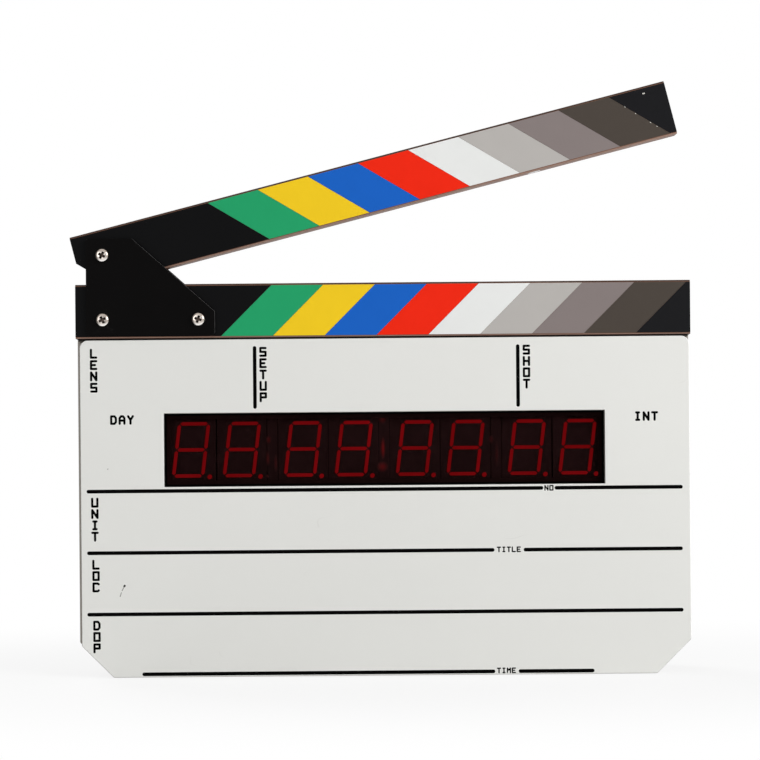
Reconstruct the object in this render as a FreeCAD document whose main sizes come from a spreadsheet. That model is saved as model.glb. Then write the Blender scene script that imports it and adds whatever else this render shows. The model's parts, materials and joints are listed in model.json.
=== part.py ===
import FreeCAD, Part
import math
import os
import re

import Sketcher

# A clapperboard with a timecode display, standing upright on its bottom edge.
# X runs to the right as the front is read, Y runs from the front to the back, Z is up.
# The origin is the middle of the bottom edge, halfway through the depth of the board.

# Driving sizes, in millimetres and degrees.
SIZES = {
    # The board: a folded metal pan, a white plate on its front and a flat cover on its back.
    "board_width": 279.0,
    "board_height": 153.9,
    "body_depth": 38.0,
    "sheet_gauge": 1.6,
    "bend_radius": 2.0,
    "corner_chamfer": 15.8,
    "plate_thickness": 3.0,
    "plate_left_inset": 1.5,
    "plate_right_inset": 0.4,
    "plate_edge_inset": 0.3,
    "plate_corner_radius": 3.6,
    "panel_thickness": 0.8,
    "panel_margin": 1.2,
    # The display: eight digits in four pairs behind one window.
    "digit_height": 25.8,
    "digit_width": 15.4,
    "digit_pitch": 23.2,
    "pair_pitch": 51.1,
    "digit_slant": 7.0,
    "segment_width": 1.9,
    "segment_gap": 0.25,
    "segment_depth": 0.25,
    "point_radius": 1.15,
    "point_offset": 1.3,
    "colon_spread": 10.5,
    "display_lift": 12.65,
    "display_shift": 0.2,
    "window_side": 11.9,
    "window_rise": 3.8,
    "window_clearance": 0.15,
    "filter_ledge": 1.6,
    "block_width": 22.6,
    "block_rise": 3.6,
    "block_depth": 9.0,
    "block_gap": 0.3,
    "display_board_side": 6.6,
    "display_board_rise": 3.2,
    "board_gauge": 1.6,
    "spacer_radius": 2.5,
    "spacer_inset": 3.4,
    # The logic board and what is soldered to it.
    "logic_width": 40.0,
    "logic_height": 32.0,
    "logic_stand": 3.0,
    "chip_side": 13.0,
    "chip_height": 3.2,
    "driver_length": 16.0,
    "driver_width": 5.2,
    "driver_height": 2.4,
    "inverter_length": 20.0,
    "inverter_width": 14.0,
    "inverter_height": 10.5,
    "crystal_radius": 2.2,
    "crystal_length": 9.0,
    # Posts, the back cover and its screws.
    "post_radius": 3.4,
    "post_inset": 9.6,
    "post_low": 24.0,
    "post_gap": 2.0,
    "post_drop": 10.0,
    "cover_screw_radius": 1.5,
    "cover_screw_length": 7.0,
    "cover_head_radius": 2.9,
    "cover_head_height": 1.7,
    "recess_length": 3.0,
    "recess_width": 0.7,
    "recess_depth": 0.9,
    "screw_fit": 0.05,
    "screw_clearance": 0.25,
    # The well for the switches in the back.
    "well_width": 112.0,
    "well_height": 32.0,
    "well_depth": 11.0,
    "tray_gap": 1.0,
    "tray_gauge": 1.2,
    "tray_flange": 7.0,
    "bushing_radius": 3.0,
    "bushing_reach": 4.5,
    "panel_nut_radius": 4.6,
    "panel_nut_height": 1.8,
    "switch_pitch": 24.0,
    "switch_width": 7.0,
    "switch_length": 13.0,
    "switch_depth": 8.0,
    "lever_ball_radius": 2.0,
    "lever_neck_radius": 1.0,
    "lever_tip_radius": 1.6,
    "lever_reach": 8.2,
    "lever_rise": 2.6,
    "ball_fit": 0.08,
    "rate_body_radius": 8.0,
    "spindle_radius": 1.8,
    "spindle_depth": 9.0,
    "running_fit": 0.05,
    "knob_radius": 7.0,
    "knob_height": 5.2,
    "knob_lift": 0.5,
    "flute_radius": 0.9,
    "pointer_width": 1.1,
    "pointer_depth": 0.6,
    "plunger_radius": 1.9,
    "plunger_depth": 6.0,
    "button_radius": 3.4,
    "button_height": 2.6,
    "button_lift": 2.0,
    # The timecode jack in the back cover.
    "jack_radius": 3.2,
    "jack_depth": 14.0,
    "sleeve_radius": 4.7,
    "sleeve_reach": 4.2,
    "jack_body_side": 14.0,
    "jack_body_depth": 12.0,
    "jack_gap": 5.0,
    "jack_nut_radius": 7.2,
    "jack_nut_height": 2.4,
    # Power: six round cells in two rows under a lift-off cover.
    "cell_radius": 13.1,
    "cell_length": 48.0,
    "cell_nub_radius": 3.2,
    "cell_nub_height": 2.0,
    "cell_clearance": 0.3,
    "contact_room": 4.0,
    "contact_gauge": 0.5,
    "contact_side": 14.0,
    "box_wall": 1.5,
    "box_low": 12.95,
    "box_flange": 2.0,
    "door_side": 10.5,
    "door_rise": 4.0,
    "door_clearance": 0.4,
    "door_seat": 0.1,
    "flange_lap": 8.0,
    "flange_lap_rise": 2.5,
    "flange_screw_rise": 22.0,
    "thumb_radius": 1.5,
    "thumb_length": 10.0,
    "thumb_head_radius": 4.4,
    "thumb_head_height": 3.4,
    "thumb_slot": 1.2,
    "boss_radius": 3.2,
    "boss_length": 9.0,
    # The clapsticks.
    "stick_overhang": 0.2,
    "stick_height": 24.7,
    "stick_thickness": 12.7,
    "edge_round": 0.9,
    "strip_thickness": 0.4,
    "strip_end_inset": 0.5,
    "strip_side_inset": 0.8,
    "stick_screw_radius": 1.9,
    "stick_screw_bite": 12.0,
    "stick_head_radius": 3.4,
    "stick_head_height": 2.2,
    "stick_screw_inset": 38.0,
    "magnet_radius": 3.0,
    "magnet_depth": 4.0,
    "magnet_reach": 200.0,
    "reed_radius": 1.2,
    "reed_length": 14.0,
    "reed_clearance": 0.3,
    # The colour fields on the fronts of the sticks.
    "stripe_thickness": 0.3,
    "stripe_start": 88.7,
    "lower_stripe_shift": 1.3,
    "stripe_finish": 2.2,
    "stripe_gap": 0.14,
    # The hinge.
    "rest_angle": 14.3,
    "pivot_inset": 12.6,
    "pivot_rise": 13.2,
    "closed_gap": 0.3,
    "heel_stay": 0.2,
    "hinge_gauge": 1.6,
    "hinge_margin": 7.5,
    "hinge_top": 21.0,
    "hinge_side": 10.4,
    "hinge_corner_radius": 1.2,
    "hinge_screw_rise": 8.6,
    "hinge_screw_span": 43.4,
    "hinge_screw_radius": 2.0,
    "hinge_head_radius": 3.1,
    "hinge_head_height": 2.0,
    "hinge_nut_radius": 4.0,
    "hinge_nut_height": 3.0,
    "hinge_screw_tail": 0.8,
    "pivot_gap": 0.5,
    "washer_radius": 5.0,
    "washer_thickness": 0.4,
    "bush_radius": 3.5,
    # How far a cutting tool runs past the face it opens.
    "overrun": 2.0,
}

# Places that several pieces share, written in the sizes above.
FRONT = "(-body_depth / 2)"
REAR = "(body_depth / 2)"
PLATE_BACK = f"({FRONT} + plate_thickness)"
PAN_FRONT = f"({PLATE_BACK} + panel_thickness)"
PAN_BACK = f"({PAN_FRONT} + sheet_gauge)"
COVER_INSIDE = f"({REAR} - sheet_gauge)"
BOARD_FRONT = f"({PAN_BACK} + block_depth)"
BOARD_BACK = f"({BOARD_FRONT} + board_gauge)"
WINDOW_WIDTH = "(3 * pair_pitch + digit_pitch + 2 * window_side)"
WINDOW_HEIGHT = "(digit_height + 2 * window_rise)"
DISPLAY_HALF = "(1.5 * pair_pitch + digit_pitch / 2 + block_width / 2 + display_board_side)"
DISPLAY_RISE = "(digit_height / 2 + block_rise + display_board_rise)"
LOGIC_FRONT = f"({BOARD_BACK} + logic_stand)"
LOGIC_BACK = f"({LOGIC_FRONT} + board_gauge)"
LOGIC_MIDDLE = f"(display_shift + {DISPLAY_HALF} - logic_width / 2)"
WELL_FLOOR = f"({REAR} - well_depth)"
TRAY_BACK = f"({WELL_FLOOR} - tray_gauge)"
BAY_LENGTH = "(3 * (cell_length + cell_nub_height) + 2 * contact_room)"
ROW_RISE = "(cell_radius + cell_clearance + box_wall / 2)"
BAY_HEIGHT = "(4 * (cell_radius + cell_clearance) + box_wall)"
BOX_LENGTH = f"({BAY_LENGTH} + 2 * box_wall)"
BOX_HEIGHT = f"({BAY_HEIGHT} + 2 * box_wall)"
CELL_MIDDLE = f"({PAN_BACK} + box_wall + cell_clearance + cell_radius)"
DOOR_LENGTH = f"({BOX_LENGTH} + 2 * door_side)"
DOOR_HEIGHT = f"({BOX_HEIGHT} + 2 * door_rise)"
FLANGE_LENGTH = f"({DOOR_LENGTH} + 2 * (door_clearance + flange_lap))"
FLANGE_HEIGHT = f"({DOOR_HEIGHT} + 2 * (door_clearance + flange_lap_rise))"
FLANGE_SCREW = f"({DOOR_LENGTH} / 2 + door_clearance + flange_lap / 2)"
THUMB_PLACE = f"({BOX_LENGTH} / 2 + door_side / 2)"
BOX_MIDDLE = f"(box_low + {BOX_HEIGHT} / 2)"
DISPLAY_MIDDLE = f"({BOX_MIDDLE} + {BOX_HEIGHT} / 2 + display_lift + {DISPLAY_RISE})"
WELL_MIDDLE = f"({BOX_MIDDLE} + {FLANGE_HEIGHT} / 2 + tray_gap + tray_flange + well_height / 2)"
JACK_PLACE = "(-(well_width / 2 + tray_flange + jack_gap + jack_body_side / 2))"
POST_SIDE = "(board_width / 2 - post_inset)"
POST_HEIGHTS = (
    "post_low",
    f"({DISPLAY_MIDDLE} - {DISPLAY_RISE} - post_gap - post_radius)",
    "(board_height - post_drop)",
)
STICK_LENGTH = "(board_width + 2 * stick_overhang)"
STICK_LEFT = f"(-{STICK_LENGTH} / 2)"
STICK_LOW = "(board_height + strip_thickness)"
STICK_TOP = f"({STICK_LOW} + stick_height)"
STICK_BACK = f"({FRONT} + stick_thickness)"
HINGE_FRONT = f"({FRONT} - stripe_thickness - hinge_gauge)"
PIVOT_X = f"({STICK_LEFT} + pivot_inset)"
PIVOT_Z = f"({STICK_TOP} + pivot_rise)"
HINGE_SCREW_Z = f"({STICK_LOW} + hinge_screw_rise)"
UPPER_FRONT = f"({FRONT} + pivot_gap)"
UPPER_BACK = f"({STICK_BACK} - pivot_gap)"
UPPER_DEPTH = "(stick_thickness - 2 * pivot_gap)"
UPPER_LOW = "(closed_gap - pivot_rise)"
UPPER_TOP = f"({UPPER_LOW} + stick_height)"
HEEL = "(pivot_inset - heel_stay)"
MIDDLE_DEPTH = f"({FRONT} + stick_thickness / 2)"

STRIPE_COLOURS = ("green", "yellow", "blue", "red", "white", "light_grey", "mid_grey", "dark_grey")
STRIPE_PITCH = f"(({STICK_LENGTH} - stripe_start - stripe_finish) / {len(STRIPE_COLOURS)})"

Vector = FreeCAD.Vector
Rotation = FreeCAD.Rotation
TOLERANCE = 1e-6
TURNS = {
    "up": Rotation(),
    "back": Rotation(Vector(1, 0, 0), -90),
    "forward": Rotation(Vector(1, 0, 0), 90),
    "right": Rotation(Vector(0, 1, 0), 90),
}

doc = FreeCAD.newDocument("clapperboard")
sheet = doc.addObject("Spreadsheet::Sheet", "Sizes")
for row, (alias, size) in enumerate(SIZES.items(), start=1):
    sheet.set(f"A{row}", alias)
    sheet.set(f"B{row}", str(size))
    sheet.setAlias(f"B{row}", alias)
doc.recompute()

nodes = {}


# Binding to the sheet.


def cells(text):
    """Turn each size name in a formula into a reference to its cell."""
    return re.sub(r"[a-z_]+", lambda word: f"Sizes.{word[0]}" if word[0] in SIZES else word[0], text)


def number(text):
    """The value of a formula now, as the start of a sketch that the formula then holds."""
    return float(sheet.evalExpression(cells(text)))


def bind(item, slot, text):
    item.setExpression(slot, cells(text))


def place(item, x, y, z):
    for axis, text in zip("xyz", (x, y, z)):
        bind(item, f"Placement.Base.{axis}", text)
    return item


def keep(name, item):
    """Make an object a sub-part: its label names the node and its file."""
    item.Label = name
    nodes[name] = item
    return item


def ride_stick(item, depth):
    """Carry a piece drawn about the pivot to the pivot, turned to the rest angle."""
    item.Placement = FreeCAD.Placement(Vector(), Rotation(Vector(0, -1, 0), 1))
    bind(item, "Placement.Rotation.Angle", "rest_angle")
    return place(item, PIVOT_X, depth, PIVOT_Z)


# Primitives and booleans.


def block(name, x, y, z):
    """A box between two bounds, given as pairs of formulas, on each axis."""
    item = doc.addObject("Part::Box", name)
    for slot, (low, high) in zip(("Length", "Width", "Height"), (x, y, z)):
        bind(item, slot, f"{high} - ({low})")
    return place(item, x[0], y[0], z[0])


def about(middle, half):
    """The two bounds that lie half a size to each side of a middle."""
    return f"{middle} - ({half})", f"{middle} + {half}"


def rod(name, radius, length, start, turn="back"):
    item = doc.addObject("Part::Cylinder", name)
    bind(item, "Radius", radius)
    bind(item, "Height", length)
    item.Placement = FreeCAD.Placement(Vector(), TURNS[turn])
    return place(item, *start)


def hexagon(name, radius, length, start, turn="back"):
    item = doc.addObject("Part::Prism", name)
    item.Polygon = 6
    bind(item, "Circumradius", radius)
    bind(item, "Height", length)
    item.Placement = FreeCAD.Placement(Vector(), TURNS[turn])
    return place(item, *start)


def fuse(name, items):
    item = doc.addObject("Part::MultiFuse", name)
    item.Shapes = items
    item.Refine = True
    return item


def group(name, items):
    item = doc.addObject("Part::Compound", name)
    item.Links = items
    return item


def cut(name, base, tools):
    item = doc.addObject("Part::Cut", name)
    item.Base = base
    item.Tool = tools[0] if len(tools) == 1 else fuse(f"{name}_tools", tools)
    return item


def repeat(pattern, places):
    """One pattern at several places. The pattern is drawn about its own origin."""
    links = []
    for count, spot in enumerate(places, start=1):
        link = doc.addObject("App::Link", f"{pattern.Name}_{count}")
        link.LinkedObject = pattern
        links.append(place(link, *spot))
    return links


def copies(name, pattern, places):
    """Several of one pattern as one group of separate solids."""
    return group(name, repeat(pattern, places))


# Sketched plates.


def sketch(body, name, role="XZ_Plane"):
    item = body.newObject("Sketcher::SketchObject", name)
    plane = next(part for part in body.Origin.OriginFeatures if part.Role == role)
    item.AttachmentSupport = [(plane, "")]
    item.MapMode = "FlatFace"
    return item


def pin_point(item, geometry, point, x, y):
    """Hold one point of a sketch at its formulas, measured from the sketch's origin."""
    for kind, axis, text in (("DistanceX", -2, x), ("DistanceY", -1, y)):
        start = number(text)
        if start == 0:
            item.addConstraint(Sketcher.Constraint("PointOnObject", geometry, point, axis))
        else:
            index = item.addConstraint(Sketcher.Constraint(kind, -1, 1, geometry, point, start))
            bind(item, f"Constraints[{index}]", text)


def draw_outline(item, corners):
    first = item.GeometryCount
    spots = [Vector(number(x), number(y), 0) for x, y in corners]
    for here, there in zip(spots, spots[1:] + spots[:1]):
        item.addGeometry(Part.LineSegment(here, there))
    last = first + len(corners) - 1
    for index in range(first, last + 1):
        following = first if index == last else index + 1
        item.addConstraint(Sketcher.Constraint("Coincident", index, 2, following, 1))
    for index, (x, y) in enumerate(corners, start=first):
        pin_point(item, index, 1, x, y)


def draw_hole(item, radius, x, y):
    ring = Part.Circle(Vector(number(x), number(y), 0), Vector(0, 0, 1), number(radius))
    geometry = item.addGeometry(ring)
    pin_point(item, geometry, 3, x, y)
    index = item.addConstraint(Sketcher.Constraint("Radius", geometry, number(radius)))
    bind(item, f"Constraints[{index}]", radius)


def rectangle(x, z):
    return [(x[0], z[0]), (x[1], z[0]), (x[1], z[1]), (x[0], z[1])]


def plate(name, thickness, outlines, holes=()):
    """A flat piece drawn as its front is seen. It grows forwards from the body's own origin."""
    body = doc.addObject("PartDesign::Body", name)
    drawing = sketch(body, f"{name}_outline")
    for corners in outlines:
        draw_outline(drawing, corners)
    for radius, x, z in holes:
        draw_hole(drawing, radius, x, z)
    pad = body.newObject("PartDesign::Pad", f"{name}_pad")
    pad.Profile = drawing
    bind(pad, "Length", thickness)
    doc.recompute()
    return body


def soften(body, name, radius, chosen):
    """Round the edges of a body that a test picks."""
    base = body.Tip
    picked = [f"Edge{count}" for count, edge in enumerate(base.Shape.Edges, start=1) if chosen(edge)]
    rounding = body.newObject("PartDesign::Fillet", name)
    rounding.Base = (base, picked)
    bind(rounding, "Radius", radius)
    doc.recompute()


def runs_along(edge, axis):
    ends = edge.Vertexes
    if len(ends) < 2:
        return False
    way = ends[1].Point - ends[0].Point
    return abs(abs(getattr(way, axis)) - way.Length) < TOLERANCE


def board_outline(left_inset, right_inset, edge):
    """The board's outline, drawn in from its sides and from its other edges."""
    left = f"(board_width / 2 - {left_inset})"
    right = f"(board_width / 2 - {right_inset})"
    meet = f"(board_width / 2 - corner_chamfer - sqrt(2) * {edge})"
    return [
        (f"-{left}", f"board_height - {edge}"),
        (right, f"board_height - {edge}"),
        (right, f"{right} - {meet}"),
        (f"{meet} + {edge}", edge),
        (f"-({meet} + {edge})", edge),
        (f"-{left}", f"{left} - {meet}"),
    ]


def window(grow):
    return rectangle(
        about("display_shift", f"({WINDOW_WIDTH} / 2 + {grow})"),
        about(DISPLAY_MIDDLE, f"({WINDOW_HEIGHT} / 2 + {grow})"),
    )


# The front of the board.

PLATE_INSETS = ("plate_left_inset", "plate_right_inset", "plate_edge_inset")


def make_face_plate():
    outlines = [board_outline(*PLATE_INSETS), window("0")]
    body = plate("face_plate", "plate_thickness", outlines)
    top = number("board_height - plate_edge_inset")
    sides = [number("plate_left_inset - board_width / 2"), number("board_width / 2 - plate_right_inset")]

    def top_corner(edge):
        middle = edge.CenterOfMass
        at_side = any(abs(middle.x - side) < TOLERANCE for side in sides)
        return at_side and abs(middle.z - top) < TOLERANCE and runs_along(edge, "y")

    soften(body, "face_plate_corners", "plate_corner_radius", top_corner)
    keep("face_plate", place(body, "0", PLATE_BACK, "0"))


def make_el_panel():
    insets = [f"({inset} + panel_margin)" for inset in PLATE_INSETS]
    outlines = [board_outline(*insets), window("window_clearance")]
    keep("el_panel", place(plate("el_panel", "panel_thickness", outlines), "0", PAN_FRONT, "0"))


def make_display_filter():
    width, height = window("-window_clearance")[0], window("-window_clearance")[2]
    keep(
        "display_filter",
        block("display_filter", (width[0], height[0]), (FRONT, PAN_FRONT), (width[1], height[1])),
    )


STICK_SCREW_SHARES = (-1, -1 / 3, 1 / 3, 1)


def stick_screw_places():
    reach = "(board_width / 2 - stick_screw_inset)"
    depth = f"({PAN_BACK} + stick_head_radius + screw_clearance)"
    return [(f"{share} * {reach}", depth) for share in STICK_SCREW_SHARES]


def make_chassis():
    depth = f"({COVER_INSIDE} - {PAN_FRONT})"
    body = plate("chassis_pan", depth, [board_outline("0", "0", "0")])
    front = -number(depth)
    soften(body, "chassis_bends", "bend_radius", lambda edge: abs(edge.BoundBox.YMax - front) < TOLERANCE)
    hollow = sketch(body, "chassis_hollow")
    draw_outline(hollow, board_outline("sheet_gauge", "sheet_gauge", "sheet_gauge"))
    pocket = body.newObject("PartDesign::Pocket", "chassis_pocket")
    pocket.Profile = hollow
    pocket.Reversed = True
    bind(pocket, "Length", f"{depth} - sheet_gauge")
    opening = sketch(body, "chassis_window")
    draw_outline(opening, window("-filter_ledge"))
    through = body.newObject("PartDesign::Pocket", "chassis_window_cut")
    through.Profile = opening
    through.Reversed = True
    bind(through, "Length", f"{depth} + overrun")
    place(body, "0", COVER_INSIDE, "0")
    holes = [
        rod(
            f"chassis_top_hole_{count}",
            "stick_screw_radius + screw_clearance",
            "sheet_gauge + 2 * overrun",
            (x, y, "board_height - sheet_gauge - overrun"),
            "up",
        )
        for count, (x, y) in enumerate(stick_screw_places())
    ]
    keep("chassis", cut("chassis", body, holes))


# Screws and nuts.


def cross_recess(name, face, turn):
    """The cross in a screw's head, cut into the face that a driver meets."""
    wide = about("0", "recess_length / 2")
    narrow = about("0", "recess_width / 2")
    outward = (f"-({face}) - overrun", f"recess_depth - ({face})")
    if turn == "down":
        spans = [(wide, narrow, outward), (narrow, wide, outward)]
    else:
        depth = (f"{face} - recess_depth", f"{face} + overrun") if turn == "back" else outward
        spans = [(wide, depth, narrow), (narrow, depth, wide)]
    return [block(f"{name}_arm_{count}", *span) for count, span in enumerate(spans)]


def pan_screw(name, radius, length, head_radius, head_height, turn):
    """A screw whose head sits on the origin and points the way named; its shank runs the other way."""
    back = {"back": "forward", "forward": "back", "down": "up"}[turn]
    head = doc.addObject("Part::Cone", f"{name}_head")
    bind(head, "Radius1", head_radius)
    bind(head, "Radius2", f"{head_radius} - {head_height} / 2")
    bind(head, "Height", head_height)
    tilt = Rotation(Vector(1, 0, 0), 180) if turn == "down" else TURNS[turn]
    head.Placement = FreeCAD.Placement(Vector(), tilt)
    shank = rod(f"{name}_shank", radius, length, ("0", "0", "0"), back)
    whole = fuse(f"{name}_whole", [head, shank])
    return cut(name, whole, cross_recess(f"{name}_recess", head_height, turn))


def make_chassis_posts():
    length = f"({COVER_INSIDE} - {PAN_BACK})"
    post = hexagon("post_blank", "post_radius", length, ("0", "0", "0"))
    bore = rod(
        "post_bore",
        "cover_screw_radius + screw_fit",
        f"{length} + 2 * overrun",
        ("0", "-overrun", "0"),
    )
    places = [(f"{sign}{POST_SIDE}", PAN_BACK, height) for sign in ("-", "") for height in POST_HEIGHTS]
    keep("chassis_posts", copies("chassis_posts", cut("post", post, [bore]), places))


def cover_screw_spots():
    """Where the back cover is screwed to the posts, to the well's flange and to the battery box."""
    spots = [(f"{sign}{POST_SIDE}", height) for sign in ("-", "") for height in POST_HEIGHTS]
    well_x = "(well_width / 2 + tray_flange / 2)"
    well_z = "(well_height / 2 + tray_flange / 2)"
    for sign in "-+":
        spots += [(f"0 {sign} {well_x}", f"{WELL_MIDDLE} {lift} {well_z}") for lift in "-+"]
        spots += [(f"0 {sign} {FLANGE_SCREW}", f"{BOX_MIDDLE} {lift} flange_screw_rise") for lift in "-+"]
    return spots


def make_rear_cover():
    door = rectangle(
        about("0", f"({DOOR_LENGTH} / 2 + door_clearance)"),
        about(BOX_MIDDLE, f"({DOOR_HEIGHT} / 2 + door_clearance)"),
    )
    well = rectangle(about("0", "well_width / 2"), about(WELL_MIDDLE, "well_height / 2"))
    holes = [("cover_screw_radius + screw_clearance", x, z) for x, z in cover_screw_spots()]
    holes.append(("sleeve_radius + running_fit", JACK_PLACE, WELL_MIDDLE))
    body = plate("rear_cover", "sheet_gauge", [board_outline("0", "0", "0"), door, well], holes)
    keep("rear_cover", place(body, "0", REAR, "0"))


def make_cover_screws():
    screw = pan_screw(
        "cover_screw",
        "cover_screw_radius",
        "cover_screw_length",
        "cover_head_radius",
        "cover_head_height",
        "back",
    )
    places = [(x, REAR, z) for x, z in cover_screw_spots()]
    keep("cover_screws", copies("cover_screws", screw, places))


def make_stick_screws():
    length = "(sheet_gauge + strip_thickness + stick_screw_bite)"
    screw = pan_screw(
        "stick_screw", "stick_screw_radius", length, "stick_head_radius", "stick_head_height", "down"
    )
    places = [(x, y, "board_height - sheet_gauge") for x, y in stick_screw_places()]
    keep("stick_screws", copies("stick_screws", screw, places))


# The display.


def digit_middles():
    """The middles of the eight digits: four pairs, two digits in each."""
    return [
        f"display_shift + ({pair}) * pair_pitch + ({side}) * digit_pitch / 2"
        for pair in (-1.5, -0.5, 0.5, 1.5)
        for side in (-1, 1)
    ]


def colon_middles():
    return [f"display_shift + ({step}) * pair_pitch" for step in (-1, 0, 1)]


def make_digit_blocks():
    """A housing for each digit, and a narrow one for each colon between two pairs."""

    def housing(name, width):
        rise = "(digit_height / 2 + block_rise)"
        return group(
            name,
            [block(f"{name}_case", about("0", f"{width} / 2"), ("0", "block_depth"), about("0", rise))],
        )

    colon_width = "(pair_pitch - digit_pitch - block_width - 2 * block_gap)"
    cases = repeat(
        housing("digit_block", "block_width"),
        [(x, PAN_BACK, DISPLAY_MIDDLE) for x in digit_middles()],
    )
    cases += repeat(
        housing("colon_block", colon_width),
        [(x, PAN_BACK, DISPLAY_MIDDLE) for x in colon_middles()],
    )
    keep("digit_blocks", group("digit_blocks", cases))


def bar(start, finish, half):
    """A six-sided light bar between two points, pointed at both ends."""
    way = finish - start
    way.normalize()
    aside = Vector(-way.z, 0, way.x) * half
    along = way * half
    corners = [
        start,
        start + along + aside,
        finish - along + aside,
        finish,
        finish - along - aside,
        start + along - aside,
    ]
    return Part.Face(Part.makePolygon(corners + corners[:1]))


def make_digit_segments():
    """Seven bars and a point for each digit, and a colon after every second digit."""
    half = number("segment_width / 2")
    gap = number("segment_gap")
    wide = number("digit_width / 2") - half
    tall = number("digit_height / 2") - half
    lean = math.tan(math.radians(number("digit_slant")))
    depth = Vector(0, number("segment_depth"), 0)
    front = number(f"{PAN_BACK} - segment_depth")
    height = number(DISPLAY_MIDDLE)

    def spot(middle, x, z):
        return Vector(middle + x + z * lean, front, height + z)

    def bars(middle):
        for z in (-tall, 0, tall):
            yield spot(middle, gap - wide, z), spot(middle, wide - gap, z)
        for x in (-wide, wide):
            yield spot(middle, x, gap), spot(middle, x, tall - gap)
            yield spot(middle, x, gap - tall), spot(middle, x, -gap)

    def dot(centre):
        ring = Part.Wire(Part.makeCircle(number("point_radius"), centre, Vector(0, 1, 0)))
        return Part.Face(ring).extrude(depth)

    middles = [number(text) for text in digit_middles()]
    lights = [bar(*ends, half).extrude(depth) for middle in middles for ends in bars(middle)]
    reach = number("digit_width / 2 + point_offset")
    lights += [dot(spot(middle, reach, half - number("digit_height / 2"))) for middle in middles]
    rise = number("colon_spread")
    for text in colon_middles():
        lights += [dot(spot(number(text), 0, z)) for z in (-rise, rise)]
    item = doc.addObject("Part::Feature", "digit_segments")
    item.Shape = Part.makeCompound(lights)
    keep("digit_segments", item)


def make_display_board():
    keep(
        "display_board",
        block(
            "display_board",
            about("display_shift", DISPLAY_HALF),
            (BOARD_FRONT, BOARD_BACK),
            about(DISPLAY_MIDDLE, DISPLAY_RISE),
        ),
    )


def make_logic_board():
    keep(
        "logic_board",
        block(
            "logic_board",
            about(LOGIC_MIDDLE, "logic_width / 2"),
            (LOGIC_FRONT, LOGIC_BACK),
            about(DISPLAY_MIDDLE, "logic_height / 2"),
        ),
    )


def make_board_spacers():
    """Long spacers under the display board, and short ones between it and the logic board."""

    def corners(pattern, middle, half, rise, start):
        reach = f"({half} - spacer_inset)"
        lift = f"({rise} - spacer_inset)"
        places = [
            (f"{middle} {side} {reach}", start, f"{DISPLAY_MIDDLE} {way} {lift}")
            for side in "-+"
            for way in "-+"
        ]
        return repeat(pattern, places)

    def spacer(name, length):
        return group(name, [rod(f"{name}_rod", "spacer_radius", length, ("0", "0", "0"))])

    stands = corners(
        spacer("long_spacer", "block_depth"),
        "display_shift",
        DISPLAY_HALF,
        DISPLAY_RISE,
        PAN_BACK,
    )
    stands += corners(
        spacer("short_spacer", "logic_stand"),
        LOGIC_MIDDLE,
        "logic_width / 2",
        "logic_height / 2",
        BOARD_BACK,
    )
    keep("board_spacers", group("board_spacers", stands))


# Places on the logic board, as shares of its width and of its height from its middle.
INVERTER_SHARES = (0.17, 0.26)
FIRST_DRIVER_SHARES = (0.2, -0.16)
SECOND_DRIVER_SHARES = (0.2, -0.39)
CLOCK_SHARES = (-0.3, -0.22)
CRYSTAL_SHARES = (-0.34, 0.28)


def make_logic_parts():
    """The lamp's inverter, two drivers, the clock chip and its crystal, on the back of the logic board."""

    def spot(shares):
        across, up = shares
        return f"({LOGIC_MIDDLE} + {across} * logic_width)", f"({DISPLAY_MIDDLE} + {up} * logic_height)"

    def chip(name, shares, length, width, height):
        x, z = spot(shares)
        y = (LOGIC_BACK, f"{LOGIC_BACK} + {height}")
        return block(name, about(x, f"{length} / 2"), y, about(z, f"{width} / 2"))

    x, z = spot(CRYSTAL_SHARES)
    start = (f"{x} - crystal_length / 2", f"{LOGIC_BACK} + crystal_radius", z)
    parts = [
        chip("inverter", INVERTER_SHARES, "inverter_length", "inverter_width", "inverter_height"),
        chip("first_driver", FIRST_DRIVER_SHARES, "driver_length", "driver_width", "driver_height"),
        chip("second_driver", SECOND_DRIVER_SHARES, "driver_length", "driver_width", "driver_height"),
        chip("clock_chip", CLOCK_SHARES, "chip_side", "chip_side", "chip_height"),
        rod("crystal", "crystal_radius", "crystal_length", start, "right"),
    ]
    keep("logic_parts", group("logic_parts", parts))


# The well in the back and its switches.


def control_places():
    """Two toggles, the rate switch and the set button, evenly spaced across the well."""
    return [f"({step} * switch_pitch)" for step in (-1.5, -0.5, 0.5, 1.5)]


def make_control_tray():
    side = "(well_width / 2 + tray_flange)"
    rise = "(well_height / 2 + tray_flange)"
    flange = block(
        "tray_flange",
        about("0", side),
        (f"{COVER_INSIDE} - tray_gauge", COVER_INSIDE),
        about(WELL_MIDDLE, rise),
    )
    bowl = block(
        "tray_bowl",
        about("0", "(well_width / 2 + tray_gauge)"),
        (TRAY_BACK, COVER_INSIDE),
        about(WELL_MIDDLE, "(well_height / 2 + tray_gauge)"),
    )
    hollow = block(
        "tray_hollow",
        about("0", "well_width / 2"),
        (WELL_FLOOR, f"{COVER_INSIDE} + overrun"),
        about(WELL_MIDDLE, "well_height / 2"),
    )
    reach = "tray_gauge + 2 * overrun"
    holes = [
        rod(
            f"tray_hole_{count}",
            "bushing_radius + running_fit",
            reach,
            (x, f"{TRAY_BACK} - overrun", WELL_MIDDLE),
        )
        for count, x in enumerate(control_places())
    ]
    well_x = "(well_width / 2 + tray_flange / 2)"
    well_z = "(well_height / 2 + tray_flange / 2)"
    start = f"{COVER_INSIDE} - tray_gauge - overrun"
    holes += [
        rod(
            f"tray_screw_hole_{count}",
            "cover_screw_radius + screw_fit",
            reach,
            (f"0 {sign} {well_x}", start, f"{WELL_MIDDLE} {lift} {well_z}"),
        )
        for count, (sign, lift) in enumerate(("--", "-+", "+-", "++"))
    ]
    keep("control_tray", cut("control_tray", fuse("tray_blank", [flange, bowl]), [hollow, *holes]))


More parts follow.
